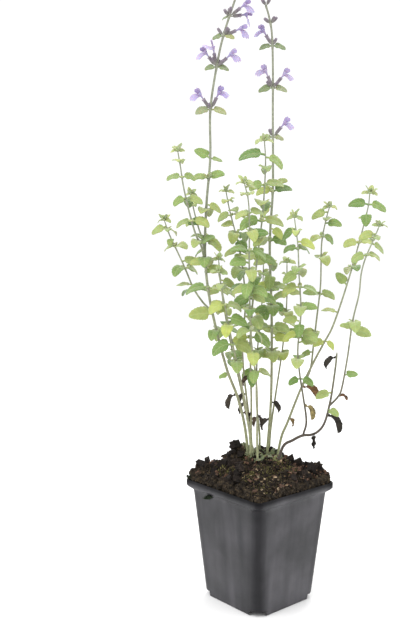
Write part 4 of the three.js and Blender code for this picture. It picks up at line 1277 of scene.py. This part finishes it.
def dress_soil():
    earth = earth_material("peat", (0.008, 0.006, 0.004), (0.026, 0.019, 0.012), (0.07, 0.052, 0.03))
    bark = earth_material("bark", (0.03, 0.018, 0.012), (0.088, 0.05, 0.034), (0.19, 0.115, 0.08), 500)
    straw = earth_material("straw", (0.13, 0.095, 0.06), (0.25, 0.19, 0.12), (0.42, 0.35, 0.25), 500)
    dark = earth_material("dark_peat", (0.005, 0.004, 0.003), (0.014, 0.01, 0.008), (0.03, 0.022, 0.016), 600)
    moss = earth_material("moss", (0.055, 0.052, 0.018), (0.14, 0.128, 0.045), (0.26, 0.24, 0.1), 700)
    dark_moss = earth_material("dark_moss", (0.006, 0.012, 0.006), (0.015, 0.026, 0.012),
                               (0.05, 0.07, 0.03), 700)
    soil_piece(make_soil(earth), True)
    soil_piece(make_bits("dark_bits", dark, 900, (1.2, 3.2), 11, 1.2, flat=0.6))
    soil_piece(make_bits("peat_crumbs", earth, 2600, (0.8, 2.4), 12, 0.8, flat=0.7))
    soil_piece(make_edge_crumbs(earth, 900, 19))
    soil_piece(make_bits("peat_clods", dark, 200, (4, 9.5), 18, 4.5, flat=0.75,
                         keep=lambda x, y: 0.9 if x < -14 or y > 6 or x > 36 else 0.12))
    soil_piece(make_bits("bark_bits", bark, 650, (1.6, 5), 13, keep=lambda x, y: 1 if x > 12 else 0.3))
    soil_piece(make_bits("straw_bits", straw, 420, (0.8, 3.2), 14,
                         keep=lambda x, y: 0.6 if y < -16 and x > -20 else 0.12))
    # tufts: place, height or None, spread, number of leaves and their length
    patches = [(18, -12, None, 5, 420, 2.2), (27, -6, None, 4, 220, 2), (8, -24, None, 4.5, 260, 2),
               (-32, -8, None, 4, 240, 2.4), (-24, -19, None, 3.5, 200, 2.2), (-6, -30, None, 4, 200, 2),
               (2, -44, None, 4, 160, 1.8), (-14, -10, None, 3, 130, 2.4)]
    soil_piece(make_moss(moss, patches, "moss_patches", 16))
    on_rim = [(-59, -2, 101.5, 1.2, 60, 2.6), (-57, 2, 103, 1.4, 60, 3), (-42.6, -17.8, 88.5, 1.1, 110, 2.6),
              (-40.4, -20, 90.5, 1.3, 110, 2)]
    soil_piece(make_moss(dark_moss, on_rim, "rim_moss", 17))


def stem_materials():
    """The colours up the green stems and up the woody one, by height, where 1 is half a metre."""
    green = [(0.22, (0.27, 0.3, 0.14)), (0.28, (0.26, 0.27, 0.15)), (0.38, (0.26, 0.26, 0.16)),
             (0.5, (0.27, 0.29, 0.18)), (0.65, (0.25, 0.27, 0.19)), (1, (0.23, 0.24, 0.18))]
    woody = [(0.2, (0.05, 0.04, 0.03)), (0.3, (0.07, 0.055, 0.04)), (0.37, (0.13, 0.12, 0.08)),
             (0.45, (0.22, 0.23, 0.15)), (0.6, (0.29, 0.32, 0.22))]
    return fuzzy_material("stem_green", green, True), fuzzy_material("stem_woody", woody, True)


def dress_plant():
    # each leaf material: dark, light, young and vein colour, and sheen
    leaf_top = leaf_material("leaf_top", (0.19, 0.25, 0.07), (0.39, 0.46, 0.165), (0.44, 0.5, 0.23),
                             (0.5, 0.57, 0.3), 0.3)
    bract_top = leaf_material("bract_top", (0.17, 0.2, 0.09), (0.3, 0.33, 0.17), (0.36, 0.4, 0.24),
                              (0.42, 0.45, 0.3), 0.4)
    base_top = leaf_material("base_leaf", (0.06, 0.07, 0.026), (0.13, 0.14, 0.06), (0.18, 0.19, 0.09),
                             (0.2, 0.21, 0.11), 0.25)
    leaf_under = leaf_material("leaf_under", (0.24, 0.29, 0.14), (0.38, 0.43, 0.23), (0.44, 0.49, 0.3),
                               (0.5, 0.54, 0.36), 0.4)
    stem_green, stem_woody = stem_materials()
    calyx = fuzzy_material("calyx", [(0, (0.25, 0.28, 0.17)), (0.3, (0.2, 0.19, 0.17)),
                                     (0.7, (0.15, 0.125, 0.145)), (1, (0.21, 0.165, 0.22))])
    dried = dried_material()
    petal = petal_material()
    materials = {"stem": [stem_green], "calyx": [calyx], "leaves": [leaf_top, leaf_under],
                 "bracts": [bract_top, leaf_under], "base": [base_top, base_top], "dried": [dried, dried]}
    plant = grow_plant()
    for (name, kind), builder in plant.parts.items():
        woody = name == "stem_right_low" and kind == "stem"
        piece = builder.build(f"{name}_{kind}", [stem_woody] if woody else materials[kind])
        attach(piece, "root")
        if kind == "stem":
            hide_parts(name)
    for i, builder in enumerate(plant.corollas):
        piece = builder.build(f"violet_flower_{i + 1}", [petal])
        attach(piece, "root")
        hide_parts(f"corolla_{i + 1}")


make_camera()
make_stage()
dress_pot()
dress_soil()
dress_plant()
bpy.context.view_layer.update()
